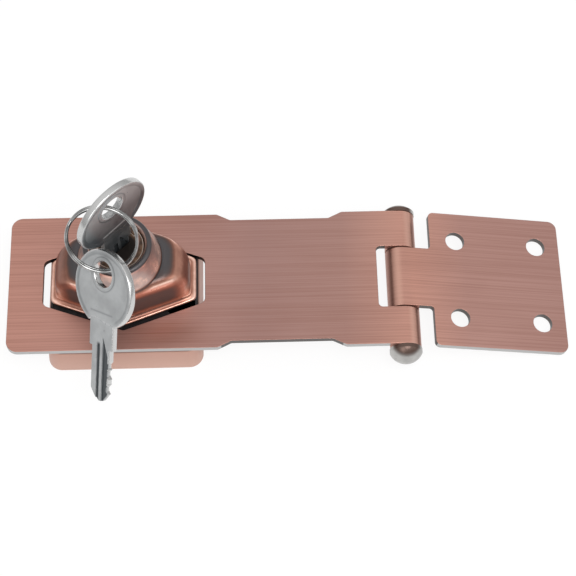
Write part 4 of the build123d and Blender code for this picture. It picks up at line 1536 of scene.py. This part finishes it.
@dataclass
class KeyPair:
    """The two keys on the ring, in millimetres and degrees, with each one's hole and direction."""

    lock_hole: tuple = (0.0, 0.0, 44.5)
    lock_angle: float = 45.0
    spare_hole: tuple = (-1.87, -9.28, 31.44)
    lean: float = 47.5
    azimuth: float = -96.5
    twist: float = 45.5

    def build(self, finishes: Finishes) -> None:
        """Build the key in the lock, upright, and the spare, which leans and turns on the ring.

        Args:
            finishes: where the materials come from.
        """
        c, s = np.cos(np.radians(self.lock_angle)), np.sin(np.radians(self.lock_angle))
        upright = (np.array([c, s, 0]), np.array([0, 0, 1.0]), np.array([s, -c, 0]))
        keys = (
            # The key in the lock is darker below its hole as painted shade, and its neck line is a
            # painted highlight.
            CutKey(
                "key_in_lock", "lock_key", "key", self.lock_hole, *upright, painted_shade=0.95, painted_neck_line=-1.3
            ),
            CutKey("key_on_ring", "spare_key", "spare", self.spare_hole, *self._hanging()),
        )
        for key in keys:
            key.build(finishes)

    def _hanging(self) -> tuple[np.ndarray, np.ndarray, np.ndarray]:
        """Work out the spare key's directions: its length leans, and its width turns about it.

        Returns:
            The directions across the key, up its bow and out of its face.
        """
        lean, azimuth, twist = np.radians([self.lean, self.azimuth, self.twist])
        away = -np.sin(lean)
        up = np.array([away * np.cos(azimuth), away * np.sin(azimuth), np.cos(lean)])
        level = np.array([1.0, 0, 0]) - up * up[0]
        level /= np.linalg.norm(level)
        across = level * np.cos(twist) - np.cross(up, level) * np.sin(twist)
        return across, up, np.cross(across, up)


@dataclass
class EasedNodes:
    """Sheet and cast nodes shown with their edges eased, on a merged copy of the CAD mesh."""

    nodes: dict
    record: dict
    width: float = 0.00012
    limit: float = 35.0
    merge_within: float = 1e-6
    flat_within: float = 0.4
    drafted: str = "lock_base"
    wall_from: float = 0.0164
    draft: float = 4.6
    names: tuple = (
        ("hasp_arm", "slotted_arm", "base"), ("hinge_leaf", "drilled_leaf", "leaf"),
        ("lock_base", "square_base", "base"),
    )

    def build(self, finishes: Finishes) -> None:
        """Merge a copy of each node's triangles, join the flat ones, and bevel what stays sharp.

        Args:
            finishes: where the materials come from.
        """
        slots = slots_by_node(self.record)
        for node, name, body in self.names:
            mesh = self._merged(node, name)
            if node == self.drafted:
                self._lean_walls(mesh)
            made = show(name, mesh, self.limit)
            bevel = made.modifiers.new("eased_edges", "BEVEL")
            bevel.width = self.width
            bevel.segments = 2
            bevel.limit_method = "ANGLE"
            bevel.angle_limit = np.radians(self.limit)
            bevel.harden_normals = True
            dress(made, body, slots[node], finishes, [node])

    def _merged(self, node: str, name: str) -> bpy.types.Mesh:
        """Copy a node's mesh with its doubles merged and its flat faces joined.

        Args:
            node: the CAD node.
            name: the new mesh's name.

        Returns:
            The mesh.
        """
        mesh = bpy.data.meshes.new(name)
        work = bmesh.new()
        work.from_mesh(self.nodes[node].data)
        bmesh.ops.remove_doubles(work, verts=work.verts, dist=self.merge_within)
        flat = np.radians(self.flat_within)
        bmesh.ops.dissolve_limit(work, angle_limit=flat, verts=work.verts, edges=work.edges)
        work.to_mesh(mesh)
        work.free()
        return mesh

    def _lean_walls(self, mesh: bpy.types.Mesh) -> None:
        """Lean the outer walls in: points beyond the cavity shrink by draft times their height.

        Args:
            mesh: the mesh, in metres.
        """
        points = np.empty(3 * len(mesh.vertices))
        mesh.vertices.foreach_get("co", points)
        points = points.reshape(-1, 3)
        outer = np.abs(points[:, :2]).max(1) > self.wall_from
        points[outer, :2] *= 1 - self.draft * points[outer, 2:]
        mesh.vertices.foreach_set("co", points.ravel())
        mesh.update()


@dataclass
class CarriedNodes:
    """The CAD nodes that keep their own shape and get a material."""

    record: dict
    nodes: dict
    replaced: Sequence[str]
    own: dict = field(default_factory=lambda: {"lock_plug": "plug", "hinge_pin": "pin"})

    def build(self, finishes: Finishes) -> None:
        """Write each node's material on its own slots.

        Args:
            finishes: where the materials come from.
        """
        slots = slots_by_node(self.record)
        for name, node in self.nodes.items():
            if name in self.replaced:
                continue
            finish = self.own.get(name, slots[name])
            node.data.materials.clear()
            node.data.materials.append(finishes.of(finish))
            LOG.info("%s keeps its shape in %s", name, finish)


@dataclass
class Studio:
    """Camera, floor and soft light, in metres. A lamp has a name, a place, a size and watts."""

    lens: float = 106.089
    sensor: float = 36.0
    clip_start: float = 0.01
    eye: tuple = (0.032818, -0.173050, 0.354370)
    right: tuple = (0.99967, -0.02556, 0.0)
    up: tuple = (0.02292, 0.89629, 0.44288)
    back: tuple = (-0.01132, -0.44273, 0.89658)
    floor_half: float = 1.5
    floor_level: float = -0.00005
    lamps_face: tuple = (0.03, 0.0, 0.0)
    lamps: tuple = (
        ("high_lamp", (0.17, -0.27, 0.70), 0.42, 2.6),
        ("front_lamp", (-0.22, -0.50, 0.50), 0.35, 0.8),
        ("side_lamp", (0.62, -0.10, 0.42), 0.40, 0.5),
    )
    sky: tuple = ((0.0, 0.42), (0.9, 0.88))
    paper_white: float = 0.93
    paper_rough: float = 0.9
    glow: float = 0.9

    def build(self) -> None:
        """Set up the camera, the floor, the lamps and the world."""
        self._camera()
        self._floor()
        for name, place, size, power in self.lamps:
            self._lamp(name, place, size, power)
        self._world()
        bpy.context.scene.view_settings.view_transform = "Standard"

    def _camera(self) -> None:
        """Place the camera by its three directions."""
        data = bpy.data.cameras.new("camera")
        data.lens = self.lens
        data.sensor_width = self.sensor
        data.clip_start = self.clip_start
        camera = bpy.data.objects.new("camera", data)
        facing = Matrix((self.right, self.up, self.back)).transposed().to_4x4()
        camera.matrix_world = Matrix.Translation(Vector(self.eye)) @ facing
        bpy.context.scene.collection.objects.link(camera)
        bpy.context.scene.camera = camera

    def _floor(self) -> None:
        """Lay a large pale sheet under the lock, white to the camera and to mirror rays."""
        half, level = self.floor_half, self.floor_level
        corners = [
            (-half, -half, level), (half, -half, level), (half, half, level), (-half, half, level),
        ]
        mesh = bpy.data.meshes.new("floor")
        mesh.from_pydata(corners, [], [(0, 1, 2, 3)])
        floor = show("floor", mesh, 30.0)
        floor.data.materials.append(self._paper())

    def _paper(self) -> bpy.types.Material:
        """White paper that glows to the eye and in mirrors, and keeps a faint shadow.

        Returns:
            The material.
        """
        bench = NodeBench("floor_paper")
        rays = [
            bench.node("ShaderNodeLightPath", {}, {}, f"Is {kind} Ray")
            for kind in ("Camera", "Glossy", "Transmission")
        ]
        glow = bench.node("ShaderNodeEmission", {}, {"Color": (1, 1, 1, 1), "Strength": 1.0})
        paper = Shade(bench, bench.surface.outputs[0])
        share = (rays[0] + rays[1] + rays[2]).clamped() * self.glow
        both = bench.node("ShaderNodeMixShader", {}, {0: share, 1: paper, 2: glow})
        bench.feed(bench.output.inputs["Surface"], both)
        white = (self.paper_white,) * 3
        return bench.finish(Base_Color=(*white, 1.0), Roughness=self.paper_rough)

    def _lamp(self, name: str, place: tuple, size: float, power: float) -> None:
        """Hang a square soft lamp that faces the part.

        Args:
            name: the lamp's name.
            place: where it hangs.
            size: its side.
            power: its power in watts.
        """
        data = bpy.data.lights.new(name, "AREA")
        data.size = size
        data.energy = power
        lamp = bpy.data.objects.new(name, data)
        lamp.location = place
        aim = Vector(self.lamps_face) - Vector(place)
        lamp.rotation_euler = aim.to_track_quat("-Z", "Y").to_euler()
        bpy.context.scene.collection.objects.link(lamp)

    def _world(self) -> None:
        """Fill the room with soft white light that is stronger overhead than at the horizon."""
        world = bpy.data.worlds.new("room")
        world.use_nodes = True
        tree = world.node_tree
        back = tree.nodes["Background"]
        sky = tree.nodes.new("ShaderNodeTexCoord")
        part = tree.nodes.new("ShaderNodeSeparateXYZ")
        ramp = tree.nodes.new("ShaderNodeValToRGB")
        for element, (place, tone) in zip(ramp.color_ramp.elements, self.sky):
            element.position = place
            element.color = (tone, tone, tone, 1.0)
        tree.links.new(sky.outputs["Generated"], part.inputs[0])
        tree.links.new(part.outputs["Z"], ramp.inputs["Fac"])
        tree.links.new(ramp.outputs["Color"], back.inputs["Color"])
        back.inputs["Strength"].default_value = 1.0
        bpy.context.scene.world = world


def main() -> None:
    """Build the stage and every piece."""
    logging.basicConfig(level=logging.INFO, format="%(name)s %(message)s")
    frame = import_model()
    finishes = Finishes()
    Studio().build()
    TurnKnob().build(finishes)
    KeyPair().build(finishes)
    SplitRing().build(finishes)
    EasedNodes(frame["nodes"], frame["record"]).build(finishes)
    replaced = [
        "split_ring", "turn_knob", "lock_key", "spare_key", "hasp_arm", "hinge_leaf", "lock_base",
    ]
    CarriedNodes(frame["record"], frame["nodes"], replaced).build(finishes)
    bpy.context.view_layer.update()


if __name__ == "__main__":
    main()
